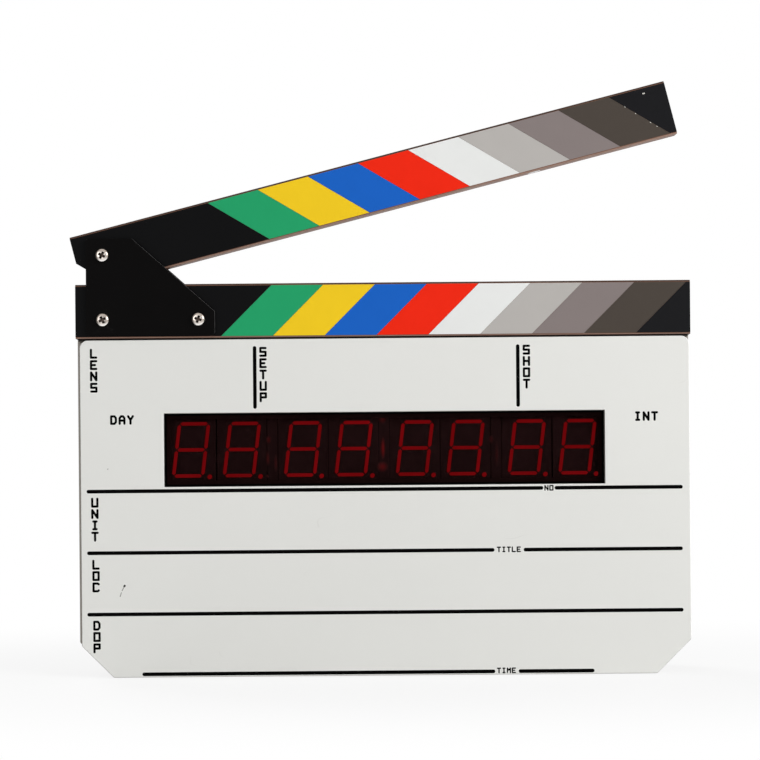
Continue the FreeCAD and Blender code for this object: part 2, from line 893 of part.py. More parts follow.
def bushing(name):
    """The threaded neck of a switch, through the well's floor, about its own axis."""
    return rod(f"{name}_bushing", "bushing_radius", "tray_gauge + bushing_reach", ("0", "-tray_gauge", "0"))


def make_switch_bodies():
    base = block(
        "switch_base",
        about("0", "switch_width / 2"),
        ("-tray_gauge - switch_depth", "-tray_gauge"),
        about("0", "switch_length / 2"),
    )
    depth = "(lever_ball_radius + ball_fit)"
    bore = rod("switch_bore", depth, "bushing_reach + overrun", ("0", f"lever_rise - {depth}", "0"))
    shape = cut("switch_body", fuse("switch_blank", [base, bushing("switch")]), [bore])
    places = [(x, WELL_FLOOR, WELL_MIDDLE) for x in control_places()[:2]]
    keep("switch_bodies", copies("switch_bodies", shape, places))


def make_lever(name, x):
    """A toggle's lever: a ball in the bushing, a slim neck and a rounded tip."""
    ball = doc.addObject("Part::Sphere", f"{name}_ball")
    bind(ball, "Radius", "lever_ball_radius")
    neck = doc.addObject("Part::Cone", f"{name}_neck")
    bind(neck, "Radius1", "lever_neck_radius")
    bind(neck, "Radius2", "lever_tip_radius")
    bind(neck, "Height", "lever_reach - lever_tip_radius")
    neck.Placement = FreeCAD.Placement(Vector(), TURNS["back"])
    tip = doc.addObject("Part::Sphere", f"{name}_tip")
    bind(tip, "Radius", "lever_tip_radius")
    place(tip, "0", "lever_reach - lever_tip_radius", "0")
    keep(name, place(fuse(name, [ball, neck, tip]), x, f"{WELL_FLOOR} + lever_rise", WELL_MIDDLE))


def make_panel_nuts():
    blank = hexagon("panel_nut_blank", "panel_nut_radius", "panel_nut_height", ("0", "0", "0"))
    hole = rod(
        "panel_nut_hole",
        "bushing_radius + screw_fit",
        "panel_nut_height + 2 * overrun",
        ("0", "-overrun", "0"),
    )
    places = [(x, WELL_FLOOR, WELL_MIDDLE) for x in control_places()]
    keep("panel_nuts", copies("panel_nuts", cut("panel_nut", blank, [hole]), places))


def make_rate_switch():
    base = rod("rate_base", "rate_body_radius", "switch_depth", ("0", "-tray_gauge - switch_depth", "0"))
    bore = rod(
        "rate_bore",
        "spindle_radius + running_fit",
        "spindle_depth + overrun",
        ("0", "bushing_reach - spindle_depth", "0"),
    )
    shape = cut("rate_switch", fuse("rate_blank", [base, bushing("rate")]), [bore])
    keep("rate_switch", place(shape, control_places()[2], WELL_FLOOR, WELL_MIDDLE))


FLUTES = 12


def make_rate_knob():
    """A fluted knob on its spindle, with a pointer groove in its face."""
    low = "(bushing_reach + knob_lift)"
    top = f"({low} + knob_height)"
    cap = rod("knob_cap", "knob_radius", "knob_height", ("0", low, "0"))
    depth = "(spindle_depth - knob_lift)"
    spindle = rod(
        "knob_spindle",
        "spindle_radius",
        f"{low} - bushing_reach + {depth}",
        ("0", f"bushing_reach - {depth}", "0"),
    )
    tools = [
        rod(
            f"knob_flute_{step}",
            "flute_radius",
            "knob_height + 2 * overrun",
            (
                f"knob_radius * cos({step} * 360 deg / {FLUTES})",
                f"{low} - overrun",
                f"knob_radius * sin({step} * 360 deg / {FLUTES})",
            ),
        )
        for step in range(FLUTES)
    ]
    tools.append(
        block(
            "knob_pointer",
            about("0", "pointer_width / 2"),
            (f"{top} - pointer_depth", f"{top} + overrun"),
            ("0", "knob_radius + overrun"),
        )
    )
    shape = cut("rate_knob", fuse("knob_blank", [cap, spindle]), tools)
    keep("rate_knob", place(shape, control_places()[2], WELL_FLOOR, WELL_MIDDLE))


def make_button_switch():
    base = block(
        "button_base",
        about("0", "switch_length / 2"),
        ("-tray_gauge - switch_depth", "-tray_gauge"),
        about("0", "switch_length / 2"),
    )
    bore = rod(
        "button_bore",
        "plunger_radius + running_fit",
        "plunger_depth + button_lift + overrun",
        ("0", "bushing_reach - plunger_depth - button_lift", "0"),
    )
    shape = cut("button_switch", fuse("button_blank", [base, bushing("button")]), [bore])
    keep("button_switch", place(shape, control_places()[3], WELL_FLOOR, WELL_MIDDLE))


def make_set_button():
    low = "(bushing_reach + button_lift)"
    cap = rod("button_cap", "button_radius", "button_height", ("0", low, "0"))
    plunger = rod(
        "button_plunger",
        "plunger_radius",
        "plunger_depth + button_lift",
        ("0", "bushing_reach - plunger_depth", "0"),
    )
    shape = fuse("set_button", [cap, plunger])
    keep("set_button", place(shape, control_places()[3], WELL_FLOOR, WELL_MIDDLE))


def make_timecode_jack():
    base = block(
        "jack_base",
        about("0", "jack_body_side / 2"),
        ("-sheet_gauge - jack_body_depth", "-sheet_gauge"),
        about("0", "jack_body_side / 2"),
    )
    sleeve = rod("jack_sleeve", "sleeve_radius", "sheet_gauge + sleeve_reach", ("0", "-sheet_gauge", "0"))
    bore = rod("jack_bore", "jack_radius", "jack_depth + overrun", ("0", "sleeve_reach - jack_depth", "0"))
    shape = cut("timecode_jack", fuse("jack_blank", [base, sleeve]), [bore])
    keep("timecode_jack", place(shape, JACK_PLACE, REAR, WELL_MIDDLE))
    nut = hexagon("jack_nut_blank", "jack_nut_radius", "jack_nut_height", ("0", "0", "0"))
    hole = rod(
        "jack_nut_hole",
        "sleeve_radius + screw_fit",
        "jack_nut_height + 2 * overrun",
        ("0", "-overrun", "0"),
    )
    keep("jack_nut", place(cut("jack_nut", nut, [hole]), JACK_PLACE, REAR, WELL_MIDDLE))


# The battery box, its cells and its cover.


def make_battery_box():
    shell = block(
        "box_shell",
        about("0", f"{BOX_LENGTH} / 2"),
        (PAN_BACK, COVER_INSIDE),
        about(BOX_MIDDLE, f"{BOX_HEIGHT} / 2"),
    )
    flange = block(
        "box_flange",
        about("0", f"{FLANGE_LENGTH} / 2"),
        (f"{COVER_INSIDE} - box_flange", COVER_INSIDE),
        about(BOX_MIDDLE, f"{FLANGE_HEIGHT} / 2"),
    )
    bosses = [
        rod(
            f"box_boss_{count}",
            "boss_radius",
            "boss_length",
            (f"{sign}{THUMB_PLACE}", f"{COVER_INSIDE} - boss_length", BOX_MIDDLE),
        )
        for count, sign in enumerate(("-", ""))
    ]
    bays = [
        block(
            f"box_bay_{count}",
            about("0", f"{BAY_LENGTH} / 2"),
            (f"{PAN_BACK} + box_wall", f"{COVER_INSIDE} + overrun"),
            about(f"({BOX_MIDDLE} {sign} {ROW_RISE})", "(cell_radius + cell_clearance)"),
        )
        for count, sign in enumerate("-+")
    ]
    holes = [
        rod(
            f"box_thumb_hole_{count}",
            "thumb_radius + running_fit",
            "boss_length + 2 * overrun",
            (f"{sign}{THUMB_PLACE}", f"{COVER_INSIDE} - boss_length - overrun", BOX_MIDDLE),
        )
        for count, sign in enumerate(("-", ""))
    ]
    holes += [
        rod(
            f"box_screw_hole_{count}",
            "cover_screw_radius + screw_fit",
            "box_flange + 2 * overrun",
            (
                f"0 {sign} {FLANGE_SCREW}",
                f"{COVER_INSIDE} - box_flange - overrun",
                f"{BOX_MIDDLE} {lift} flange_screw_rise",
            ),
        )
        for count, (sign, lift) in enumerate(("--", "-+", "+-", "++"))
    ]
    blank = fuse("box_blank", [shell, flange, *bosses])
    keep("battery_box", cut("battery_box", blank, [*bays, *holes]))


def make_cells():
    can = rod("cell_can", "cell_radius", "cell_length", ("0", "0", "0"), "right")
    nub = rod("cell_nub", "cell_nub_radius", "cell_nub_height", ("cell_length", "0", "0"), "right")
    start = f"(contact_room - {BAY_LENGTH} / 2)"
    pitch = "(cell_length + cell_nub_height)"
    places = [
        (f"{start} + {step} * {pitch}", CELL_MIDDLE, f"{BOX_MIDDLE} {sign} {ROW_RISE}")
        for sign in "-+"
        for step in range(3)
    ]
    keep("cells", copies("cells", fuse("cell", [can, nub]), places))


def make_cell_contacts():
    """A folded leaf at each end of each row: one leg on the wall, a bridge and a tongue against the cell."""
    leaves = []
    wide = "contact_side / 2"
    for count, (side, sign) in enumerate(("--", "-+", "+-", "++")):
        wall = f"(0 {side} {BAY_LENGTH} / 2)"
        tip = f"(0 {side} ({BAY_LENGTH} / 2 - contact_room))"
        ends = {
            "-": ((wall, f"{wall} + contact_gauge"), (f"{tip} - contact_gauge", tip), (wall, tip)),
            "+": ((f"{wall} - contact_gauge", wall), (tip, f"{tip} + contact_gauge"), (tip, wall)),
        }[side]
        middle = f"({BOX_MIDDLE} {sign} {ROW_RISE})"
        y = about(CELL_MIDDLE, wide)
        bridge_y = (f"{CELL_MIDDLE} - {wide}", f"{CELL_MIDDLE} - {wide} + contact_gauge")
        z = about(middle, "contact_side / 4")
        name = f"contact_{count}"
        leg = block(f"{name}_leg", ends[0], y, z)
        tongue = block(f"{name}_tongue", ends[1], y, z)
        bridge = block(f"{name}_bridge", ends[2], bridge_y, z)
        leaves.append(fuse(name, [leg, tongue, bridge]))
    keep("cell_contacts", group("cell_contacts", leaves))


def make_battery_cover():
    holes = [("thumb_radius + screw_clearance", f"{sign}{THUMB_PLACE}", BOX_MIDDLE) for sign in ("-", "")]
    outline = rectangle(about("0", f"{DOOR_LENGTH} / 2"), about(BOX_MIDDLE, f"{DOOR_HEIGHT} / 2"))
    body = plate("battery_cover", "sheet_gauge - door_seat", [outline], holes)
    keep("battery_cover", place(body, "0", REAR, "0"))


def make_thumb_screw(name, x):
    head = rod(f"{name}_head", "thumb_head_radius", "thumb_head_height", ("0", "door_seat", "0"))
    shank = rod(f"{name}_shank", "thumb_radius", "thumb_length", ("0", "door_seat", "0"), "forward")
    slot = block(
        f"{name}_slot",
        about("0", "thumb_head_radius + overrun"),
        ("door_seat + thumb_head_height - thumb_slot", "thumb_head_height + overrun"),
        about("0", "thumb_slot / 2"),
    )
    keep(name, place(cut(name, fuse(f"{name}_blank", [head, shank]), [slot]), x, REAR, BOX_MIDDLE))


# The clapsticks.


def round_long_edges(body, name, depth):
    """Round the four long edges of a stick, front and back."""

    def long_edge(edge):
        on_face = abs(edge.CenterOfMass.y) < TOLERANCE or abs(edge.CenterOfMass.y + depth) < TOLERANCE
        return on_face and runs_along(edge, "x")

    soften(body, name, "edge_round", long_edge)


def make_damping_strip():
    blank = block(
        "strip_blank",
        about("0", "(board_width / 2 - strip_end_inset)"),
        (f"{FRONT} + strip_side_inset", f"{STICK_BACK} - strip_side_inset"),
        ("board_height", STICK_LOW),
    )
    holes = [
        rod(
            f"strip_hole_{count}",
            "stick_screw_radius + screw_clearance",
            "strip_thickness + 2 * overrun",
            (x, y, "board_height - overrun"),
            "up",
        )
        for count, (x, y) in enumerate(stick_screw_places())
    ]
    keep("damping_strip", cut("damping_strip", blank, holes))


def hinge_spots():
    """The pivot and the two screws that hold the hinge plates to the lower stick."""
    return [
        (PIVOT_X, PIVOT_Z),
        (PIVOT_X, HINGE_SCREW_Z),
        (f"({PIVOT_X} + hinge_screw_span)", HINGE_SCREW_Z),
    ]


def make_lower_stick():
    outline = rectangle(about("0", f"{STICK_LENGTH} / 2"), (STICK_LOW, STICK_TOP))
    holes = [("hinge_screw_radius + screw_fit", x, z) for x, z in hinge_spots()[1:]]
    body = plate("lower_stick_blank", "stick_thickness", [outline], holes)
    round_long_edges(body, "lower_stick_edges", number("stick_thickness"))
    place(body, "0", STICK_BACK, "0")
    tools = [
        rod(
            f"lower_stick_hole_{count}",
            "stick_screw_radius + screw_fit",
            "stick_screw_bite + screw_clearance + overrun",
            (x, y, f"{STICK_LOW} - overrun"),
            "up",
        )
        for count, (x, y) in enumerate(stick_screw_places())
    ]
    slot = "(reed_radius + reed_clearance)"
    tools.append(
        block(
            "reed_slot",
            about(f"({PIVOT_X} + magnet_reach)", "(reed_length / 2 + reed_clearance)"),
            about(MIDDLE_DEPTH, slot),
            (f"{STICK_TOP} - 2 * {slot}", f"{STICK_TOP} + overrun"),
        )
    )
    keep("lower_stick", cut("lower_stick", body, tools))


def make_reed_switch():
    start = f"({PIVOT_X} + magnet_reach - reed_length / 2)"
    height = f"({STICK_TOP} - reed_radius - 2 * reed_clearance)"
    tube = rod("reed_switch", "reed_radius", "reed_length", (start, MIDDLE_DEPTH, height), "right")
    keep("reed_switch", tube)


def make_upper_stick():
    """Drawn about the pivot with the sticks closed; its heel is cut away so that it can swing up."""
    left = "(-pivot_inset)"
    right = f"({STICK_LENGTH} - pivot_inset)"
    outline = [
        (left, UPPER_TOP),
        (right, UPPER_TOP),
        (right, UPPER_LOW),
        (f"{HEEL} + {left}", UPPER_LOW),
        (left, f"{UPPER_LOW} + {HEEL}"),
    ]
    body = plate("upper_stick_blank", UPPER_DEPTH, [outline], [("bush_radius + screw_fit", "0", "0")])
    round_long_edges(body, "upper_stick_edges", number(UPPER_DEPTH))
    pocket = rod(
        "magnet_pocket",
        "magnet_radius + screw_fit",
        "magnet_depth + screw_fit + overrun",
        ("magnet_reach", f"-{UPPER_DEPTH} / 2", f"{UPPER_LOW} - overrun"),
        "up",
    )
    keep("upper_stick", ride_stick(cut("upper_stick", body, [pocket]), UPPER_BACK))


def make_sync_magnet():
    magnet = rod(
        "magnet_disc",
        "magnet_radius",
        "magnet_depth",
        ("magnet_reach", f"-{UPPER_DEPTH} / 2", UPPER_LOW),
        "up",
    )
    keep("sync_magnet", ride_stick(group("sync_magnet", [magnet]), UPPER_BACK))


# The colour fields. On each stick they lean to the left, away from the edge where the sticks meet.


def stripe_corners(step, left, meeting, far):
    """One field between two leaning borders, from the meeting edge to the far edge."""
    near = f"({left} + stripe_start + {step} * {STRIPE_PITCH} + stripe_gap / 2)"
    next_one = f"({left} + stripe_start + {step + 1} * {STRIPE_PITCH} - stripe_gap / 2)"
    lean = "(stick_height - edge_round)"
    return [
        (f"{near} - edge_round", meeting),
        (f"{next_one} - edge_round", meeting),
        (f"{next_one} - {lean}", far),
        (f"{near} - {lean}", far),
    ]


def end_corners(left, right, meeting, far):
    """The black field past the last border."""
    border = f"({left} + stripe_start + {len(STRIPE_COLOURS)} * {STRIPE_PITCH} + stripe_gap / 2)"
    return [
        (f"{border} - edge_round", meeting),
        (right, meeting),
        (right, far),
        (f"{border} - (stick_height - edge_round)", far),
    ]


def make_lower_stripes():
    meeting = f"({STICK_TOP} - edge_round)"
    far = f"({STICK_LOW} + edge_round)"
    right = f"(-{STICK_LEFT})"
    shifted = f"({STICK_LEFT} + lower_stripe_shift)"
    start = f"({shifted} + stripe_start - stripe_gap / 2)"
    first = [
        (STICK_LEFT, meeting),
        (f"{start} - edge_round", meeting),
        (f"{start} - (stick_height - edge_round)", far),
        (STICK_LEFT, far),
    ]
    holes = [("hinge_screw_radius + screw_fit", x, z) for x, z in hinge_spots()[1:]]
    blacks = [
        plate("lower_black_left", "stripe_thickness", [first], holes),
        plate("lower_black_right", "stripe_thickness", [end_corners(shifted, right, meeting, far)]),
    ]
    keep("lower_stripe_black", place(group("lower_stripe_black", blacks), "0", FRONT, "0"))
    for step, colour in enumerate(STRIPE_COLOURS):
        name = f"lower_stripe_{colour}"
        body = plate(name, "stripe_thickness", [stripe_corners(step, shifted, meeting, far)])
        keep(name, place(body, "0", FRONT, "0"))


def make_upper_stripes():
    left = "(-pivot_inset)"
    meeting = f"({UPPER_LOW} + edge_round)"
    far = f"({UPPER_TOP} - edge_round)"
    right = f"({STICK_LENGTH} - pivot_inset)"
    start = f"({left} + stripe_start - stripe_gap / 2)"
    first = [
        (f"{left} + {HEEL} - edge_round", meeting),
        (f"{start} - edge_round", meeting),
        (f"{start} - (stick_height - edge_round)", far),
        (left, far),
        (left, f"{UPPER_LOW} + {HEEL}"),
    ]
    blacks = [
        plate("upper_black_left", "stripe_thickness", [first], [("bush_radius + screw_fit", "0", "0")]),
        plate("upper_black_right", "stripe_thickness", [end_corners(left, right, meeting, far)]),
    ]
    keep("upper_stripe_black", ride_stick(group("upper_stripe_black", blacks), UPPER_FRONT))
    for step, colour in enumerate(STRIPE_COLOURS):
        name = f"upper_stripe_{colour}"
        body = plate(name, "stripe_thickness", [stripe_corners(step, left, meeting, far)])
        keep(name, ride_stick(body, UPPER_FRONT))


# The hinge.


def make_hinge_plate(name, back):
    left = f"({PIVOT_X} - hinge_margin)"
    right = f"({PIVOT_X} + hinge_screw_span + hinge_margin)"
    low = f"({HINGE_SCREW_Z} - hinge_margin + hinge_corner_radius / 2)"
    top = f"({PIVOT_Z} + hinge_margin)"
    outline = [
        (left, low),
        (right, low),
        (right, f"{low} + hinge_side"),
        (f"{left} + hinge_top", top),
        (left, top),
    ]
    holes = [("hinge_screw_radius + screw_fit", x, z) for x, z in hinge_spots()]
    body = plate(name, "hinge_gauge", [outline], holes)
    soften(body, f"{name}_corners", "hinge_corner_radius", lambda edge: runs_along(edge, "y"))
    keep(name, place(body, "0", back, "0"))


def make_hinge_screws():
    length = f"({STICK_BACK} + hinge_gauge + hinge_nut_height + hinge_screw_tail - {HINGE_FRONT})"
    screw = pan_screw(
        "hinge_screw", "hinge_screw_radius", length, "hinge_head_radius", "hinge_head_height", "forward"
    )
    keep("hinge_screws", copies("hinge_screws", screw, [(x, HINGE_FRONT, z) for x, z in hinge_spots()]))


def make_hinge_nuts():
    blank = hexagon("hinge_nut_blank", "hinge_nut_radius", "hinge_nut_height", ("0", "0", "0"))
    hole = rod(
        "hinge_nut_hole",
        "hinge_screw_radius + screw_fit",
        "hinge_nut_height + 2 * overrun",
        ("0", "-overrun", "0"),
    )
    places = [(x, f"{STICK_BACK} + hinge_gauge", z) for x, z in hinge_spots()]
    keep("hinge_nuts", copies("hinge_nuts", cut("hinge_nut", blank, [hole]), places))


def make_pivot_washers():
    blank = rod("washer_blank", "washer_radius", "washer_thickness", ("0", "0", "0"))
    hole = rod(
        "washer_hole",
        "hinge_screw_radius + screw_fit",
        "washer_thickness + 2 * overrun",
        ("0", "-overrun", "0"),
    )
    places = [
        (PIVOT_X, f"{FRONT} - stripe_thickness", PIVOT_Z),
        (PIVOT_X, f"{STICK_BACK} - washer_thickness", PIVOT_Z),
    ]
    keep("pivot_washers", copies("pivot_washers", cut("washer", blank, [hole]), places))


def make_pivot_bush():
    length = f"({UPPER_DEPTH} + stripe_thickness)"
    blank = rod("bush_blank", "bush_radius", length, ("0", "0", "0"), "forward")
    hole = rod(
        "bush_hole",
        "hinge_screw_radius + running_fit",
        f"{length} + 2 * overrun",
        ("0", "overrun", "0"),
        "forward",
    )
    keep("pivot_bush", ride_stick(cut("pivot_bush", blank, [hole]), UPPER_BACK))


def make_all():
    make_face_plate()
    make_el_panel()
    make_display_filter()
    make_chassis()
    make_chassis_posts()
    make_rear_cover()
    make_cover_screws()
    make_digit_blocks()
    make_digit_segments()
    make_display_board()
    make_logic_board()
    make_board_spacers()
    make_logic_parts()
    make_control_tray()
    make_switch_bodies()
    make_lever("power_lever", control_places()[0])
    make_lever("brightness_lever", control_places()[1])
    make_panel_nuts()
    make_rate_switch()
    make_rate_knob()
    make_button_switch()
    make_set_button()
    make_timecode_jack()
    make_battery_box()
    make_cells()
    make_cell_contacts()
    make_battery_cover()
    make_thumb_screw("thumb_screw_left", f"-{THUMB_PLACE}")
    make_thumb_screw("thumb_screw_right", THUMB_PLACE)
    make_damping_strip()
    make_stick_screws()
    make_lower_stick()
    make_reed_switch()
    make_lower_stripes()
    make_upper_stick()
    make_sync_magnet()
    make_upper_stripes()
    make_hinge_plate("front_hinge_plate", f"{FRONT} - stripe_thickness")
    make_hinge_plate("rear_hinge_plate", f"{STICK_BACK} + hinge_gauge")
    make_hinge_screws()
    make_hinge_nuts()
    make_pivot_washers()
    make_pivot_bush()


def check_all():
    failed = [item.Name for item in doc.Objects if {"Invalid", "Error"} & set(item.State)]
    failed += [name for name, item in nodes.items() if item.Shape.isNull() or not item.Shape.isValid()]
    if failed:
        raise RuntimeError("these pieces did not build: " + ", ".join(failed))


def write_all():
    os.makedirs("parts", exist_ok=True)
    for name, item in nodes.items():
        item.Shape.exportStep(f"parts/{name}.step")
        print(name, len(item.Shape.Solids), round(item.Shape.Volume, 1))


make_all()
doc.recompute()
check_all()
write_all()
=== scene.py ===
# %% [markdown]
# # A clapperboard with a timecode display
# This lesson dresses the solids of a clapperboard: a white board with black rules, a red number
# display, and two wooden sticks with colour fields that meet at a black hinge plate.
# The solids come first, as a fixed frame. Everything made below sits on them, in metres.

# %% Load the frame
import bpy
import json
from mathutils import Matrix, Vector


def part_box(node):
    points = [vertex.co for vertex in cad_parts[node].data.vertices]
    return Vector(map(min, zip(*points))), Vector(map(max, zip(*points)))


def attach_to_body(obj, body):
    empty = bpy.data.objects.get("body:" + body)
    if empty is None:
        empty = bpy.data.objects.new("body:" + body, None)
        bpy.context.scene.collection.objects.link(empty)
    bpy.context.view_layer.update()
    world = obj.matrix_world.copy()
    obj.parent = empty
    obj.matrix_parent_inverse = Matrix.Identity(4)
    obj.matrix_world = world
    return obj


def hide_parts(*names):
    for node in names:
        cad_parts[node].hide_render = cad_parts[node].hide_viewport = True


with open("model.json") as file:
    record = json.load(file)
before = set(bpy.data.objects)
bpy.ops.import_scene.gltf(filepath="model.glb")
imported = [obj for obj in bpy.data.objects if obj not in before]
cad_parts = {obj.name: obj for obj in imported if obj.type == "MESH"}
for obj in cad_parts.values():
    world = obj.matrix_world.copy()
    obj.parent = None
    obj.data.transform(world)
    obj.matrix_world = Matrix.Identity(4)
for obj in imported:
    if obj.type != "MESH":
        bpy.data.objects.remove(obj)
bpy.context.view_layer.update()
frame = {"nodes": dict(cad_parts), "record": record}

import json
import math
import random

import bmesh
import bpy
from mathutils import Matrix, Vector

MM = 0.001
record = frame["record"]
slot_of = {part["node"]: part["material_slot"] for part in record["subparts"]}
body_of = {node: body for body, nodes in record["behaviour"]["bodies"].items() for node in nodes}

# %% [markdown]
# A few helpers are used all the way through. Colours are written as they look on a screen, from 0
# to 255, and turned into the linear values that shaders work with. `fill` gives each socket a plain
# value or a link, and `add` puts a node into a tree and fills its inputs.

# %% Helpers for node trees


def tint(red, green, blue):
    def linear(level):
        share = level / 255
        return share / 12.92 if share <= 0.04045 else ((share + 0.055) / 1.055) ** 2.4

    return linear(red), linear(green), linear(blue), 1.0


def fill(tree, sockets, values):
    for key, value in values.items():
        if isinstance(value, bpy.types.NodeSocket):
            tree.links.new(value, sockets[key])
        else:
            sockets[key].default_value = value


def add(tree, kind, inputs=None, **settings):
    node = tree.nodes.new(kind)
    for name, value in settings.items():
        setattr(node, name, value)
    fill(tree, node.inputs, inputs or {})
    return node


def open_group(name, kind, inputs, outputs):
    """A node group with named sockets, and the sockets of its input and its output node."""
    tree = bpy.data.node_groups.new(name, kind)
    for label, (form, value) in inputs.items():
        socket = tree.interface.new_socket(label, in_out="INPUT", socket_type=f"NodeSocket{form}")
        if value is not None:
            socket.default_value = value
    for label, form in outputs.items():
        tree.interface.new_socket(label, in_out="OUTPUT", socket_type=f"NodeSocket{form}")
    return tree, tree.nodes.new("NodeGroupInput").outputs, tree.nodes.new("NodeGroupOutput").inputs


print("tree helpers ready")

# %% [markdown]
# The next helpers stand for single nodes that come up again and again, such as a sum, a noise or a
# blend of two colours. Each gives the node's result, so that one can be written inside another.

# %% Helpers for single nodes


def calc(tree, operation, first, second=None):
    inputs = {0: first} if second is None else {0: first, 1: second}
    return add(tree, "ShaderNodeMath", inputs, operation=operation).outputs[0]


def map_range(tree, value, start, end, at_start=0.0, at_end=1.0, **settings):
    """A value that goes from at_start to at_end while the given one goes from start to end."""
    target = {"To Min": at_start, "To Max": at_end}
    inputs = {"Value": value, "From Min": start, "From Max": end, **target}
    return add(tree, "ShaderNodeMapRange", inputs, **settings).outputs[0]


def blend(tree, share, first, second):
    inputs = {0: share, 6: first, 7: second}
    return add(tree, "ShaderNodeMix", inputs, data_type="RGBA").outputs[2]


def object_spot(tree):
    return add(tree, "ShaderNodeTexCoord").outputs["Object"]


def axes_of(tree, vector):
    return add(tree, "ShaderNodeSeparateXYZ", {0: vector}).outputs


def stretched(tree, spot, scale, turn=(0.0, 0.0, 0.0)):
    inputs = {"Vector": spot, "Rotation": turn, "Scale": scale}
    return add(tree, "ShaderNodeMapping", inputs).outputs[0]


def noise(tree, spot, scale, detail):
    inputs = {"Vector": spot, "Scale": scale, "Detail": detail}
    return add(tree, "ShaderNodeTexNoise", inputs).outputs[0]


print("node helpers ready")

# %% [markdown]
# No real surface has one even colour. The first group gives a slow drift in colour and gloss, and a
# fine grain for bump. It reads Object coordinates, so the pattern stays put when a piece moves. A
# group is built once, and each finish places it with its own values.

# %% Group: uneven surface


def make_uneven():
    tree, given, out = open_group(
        "uneven surface",
        "ShaderNodeTree",
        {
            "Colour": ("Color", (0.5, 0.5, 0.5, 1.0)),
            "Patch Scale": ("Float", 40.0),
            "Patch Strength": ("Float", 0.08),
            "Roughness": ("Float", 0.5),
            "Roughness Spread": ("Float", 0.15),
            "Grain Scale": ("Float", 1500.0),
        },
        {"Colour": "Color", "Roughness": "Float", "Height": "Float"},
    )
    spot = object_spot(tree)
    drift = calc(tree, "SUBTRACT", noise(tree, spot, given["Patch Scale"], 5.0), 0.5)
    lift = calc(tree, "MULTIPLY", drift, given["Patch Strength"])
    value = calc(tree, "ADD", calc(tree, "MULTIPLY", lift, 2.0), 1.0)
    toned = add(tree, "ShaderNodeHueSaturation", {"Value": value, "Color": given["Colour"]})
    spread = calc(tree, "MULTIPLY", drift, given["Roughness Spread"])
    roughness = calc(tree, "ADD", given["Roughness"], spread)
    grain = noise(tree, spot, given["Grain Scale"], 2.0)
    fill(tree, out, {"Colour": toned.outputs[0], "Roughness": roughness, "Height": grain})
    return tree


UNEVEN = make_uneven()
print("group:", UNEVEN.name)

# %% [markdown]
# Handling leaves hairline scratches. They could be drawn one by one, but the line where a noise
# crosses its middle value is thin and wanders like a scratch, and it covers any surface. A second
# noise keeps only some stretches of it.

# %% Group: hairline scratches
SCRATCH_WIDTH = 0.006
SCRATCH_STRETCH = (1.0, 1.0, 4.0)
SCRATCH_TURN = (0.0, 0.6, 0.0)
STRETCH_SCALE = 55.0
STRETCH_FADE = 0.08


def make_hairlines():
    tree, given, out = open_group(
        "hairline scratches",
        "ShaderNodeTree",
        {"Scale": ("Float", 30.0), "Amount": ("Float", 0.4)},
        {"Mask": "Float"},
    )
    spot = object_spot(tree)
    turned = stretched(tree, spot, SCRATCH_STRETCH, SCRATCH_TURN)
    line = noise(tree, turned, given["Scale"], 1.0)
    offset = calc(tree, "ABSOLUTE", calc(tree, "SUBTRACT", line, 0.5))
    thin = map_range(tree, offset, 0.0, SCRATCH_WIDTH, 1.0, 0.0)
    limit = calc(tree, "SUBTRACT", 1.0, given["Amount"])
    where = noise(tree, spot, STRETCH_SCALE, 1.0)
    kept = map_range(tree, where, limit, calc(tree, "ADD", limit, STRETCH_FADE))
    fill(tree, out, {"Mask": calc(tree, "MULTIPLY", thin, kept)})
    return tree


HAIRLINES = make_hairlines()
print("group:", HAIRLINES.name)

# %% [markdown]
# The sticks are hardwood. Grain runs along the stick, so the noise is stretched along X, and faint
# rings show on the sawn ends. An image of wood would repeat along a stick this long, and noise never
# does. The upper stick rests open, so its grain is turned with it by the `Turn` input.

# %% Group: wood grain
FIBRE_STRETCH = (14.0, 420.0, 420.0)
BAND_STRETCH = (3.0, 60.0, 60.0)


def make_wood_grain():
    tree, given, out = open_group(
        "wood grain",
        "ShaderNodeTree",
        {
            "Light": ("Color", (0.3, 0.2, 0.1, 1.0)),
            "Dark": ("Color", (0.1, 0.05, 0.03, 1.0)),
            "Turn": ("Vector", (0.0, 0.0, 0.0)),
        },
        {"Colour": "Color", "Height": "Float"},
    )
    turned = {"Vector": object_spot(tree), "Rotation": given["Turn"]}
    along = add(tree, "ShaderNodeMapping", turned, vector_type="TEXTURE").outputs[0]
    fibre = noise(tree, stretched(tree, along, FIBRE_STRETCH), 1.0, 6.0)
    band = noise(tree, stretched(tree, along, BAND_STRETCH), 1.0, 2.0)
    rings = add(
        tree,
        "ShaderNodeTexWave",
        {"Vector": along, "Scale": 160.0, "Distortion": 3.0, "Detail": 2.0},
        wave_type="RINGS",
        rings_direction="X",
    )
    mixed = calc(tree, "MULTIPLY", fibre, 0.6)
    for value, weight in ((band, 0.5), (rings.outputs["Fac"], 0.12)):
        mixed = calc(tree, "ADD", mixed, calc(tree, "MULTIPLY", value, weight))
    colour = blend(tree, map_range(tree, mixed, 0.38, 0.82), given["Dark"], given["Light"])
    fill(tree, out, {"Colour": colour, "Height": fibre})
    return tree


WOOD_GRAIN = make_wood_grain()
print("group:", WOOD_GRAIN.name)
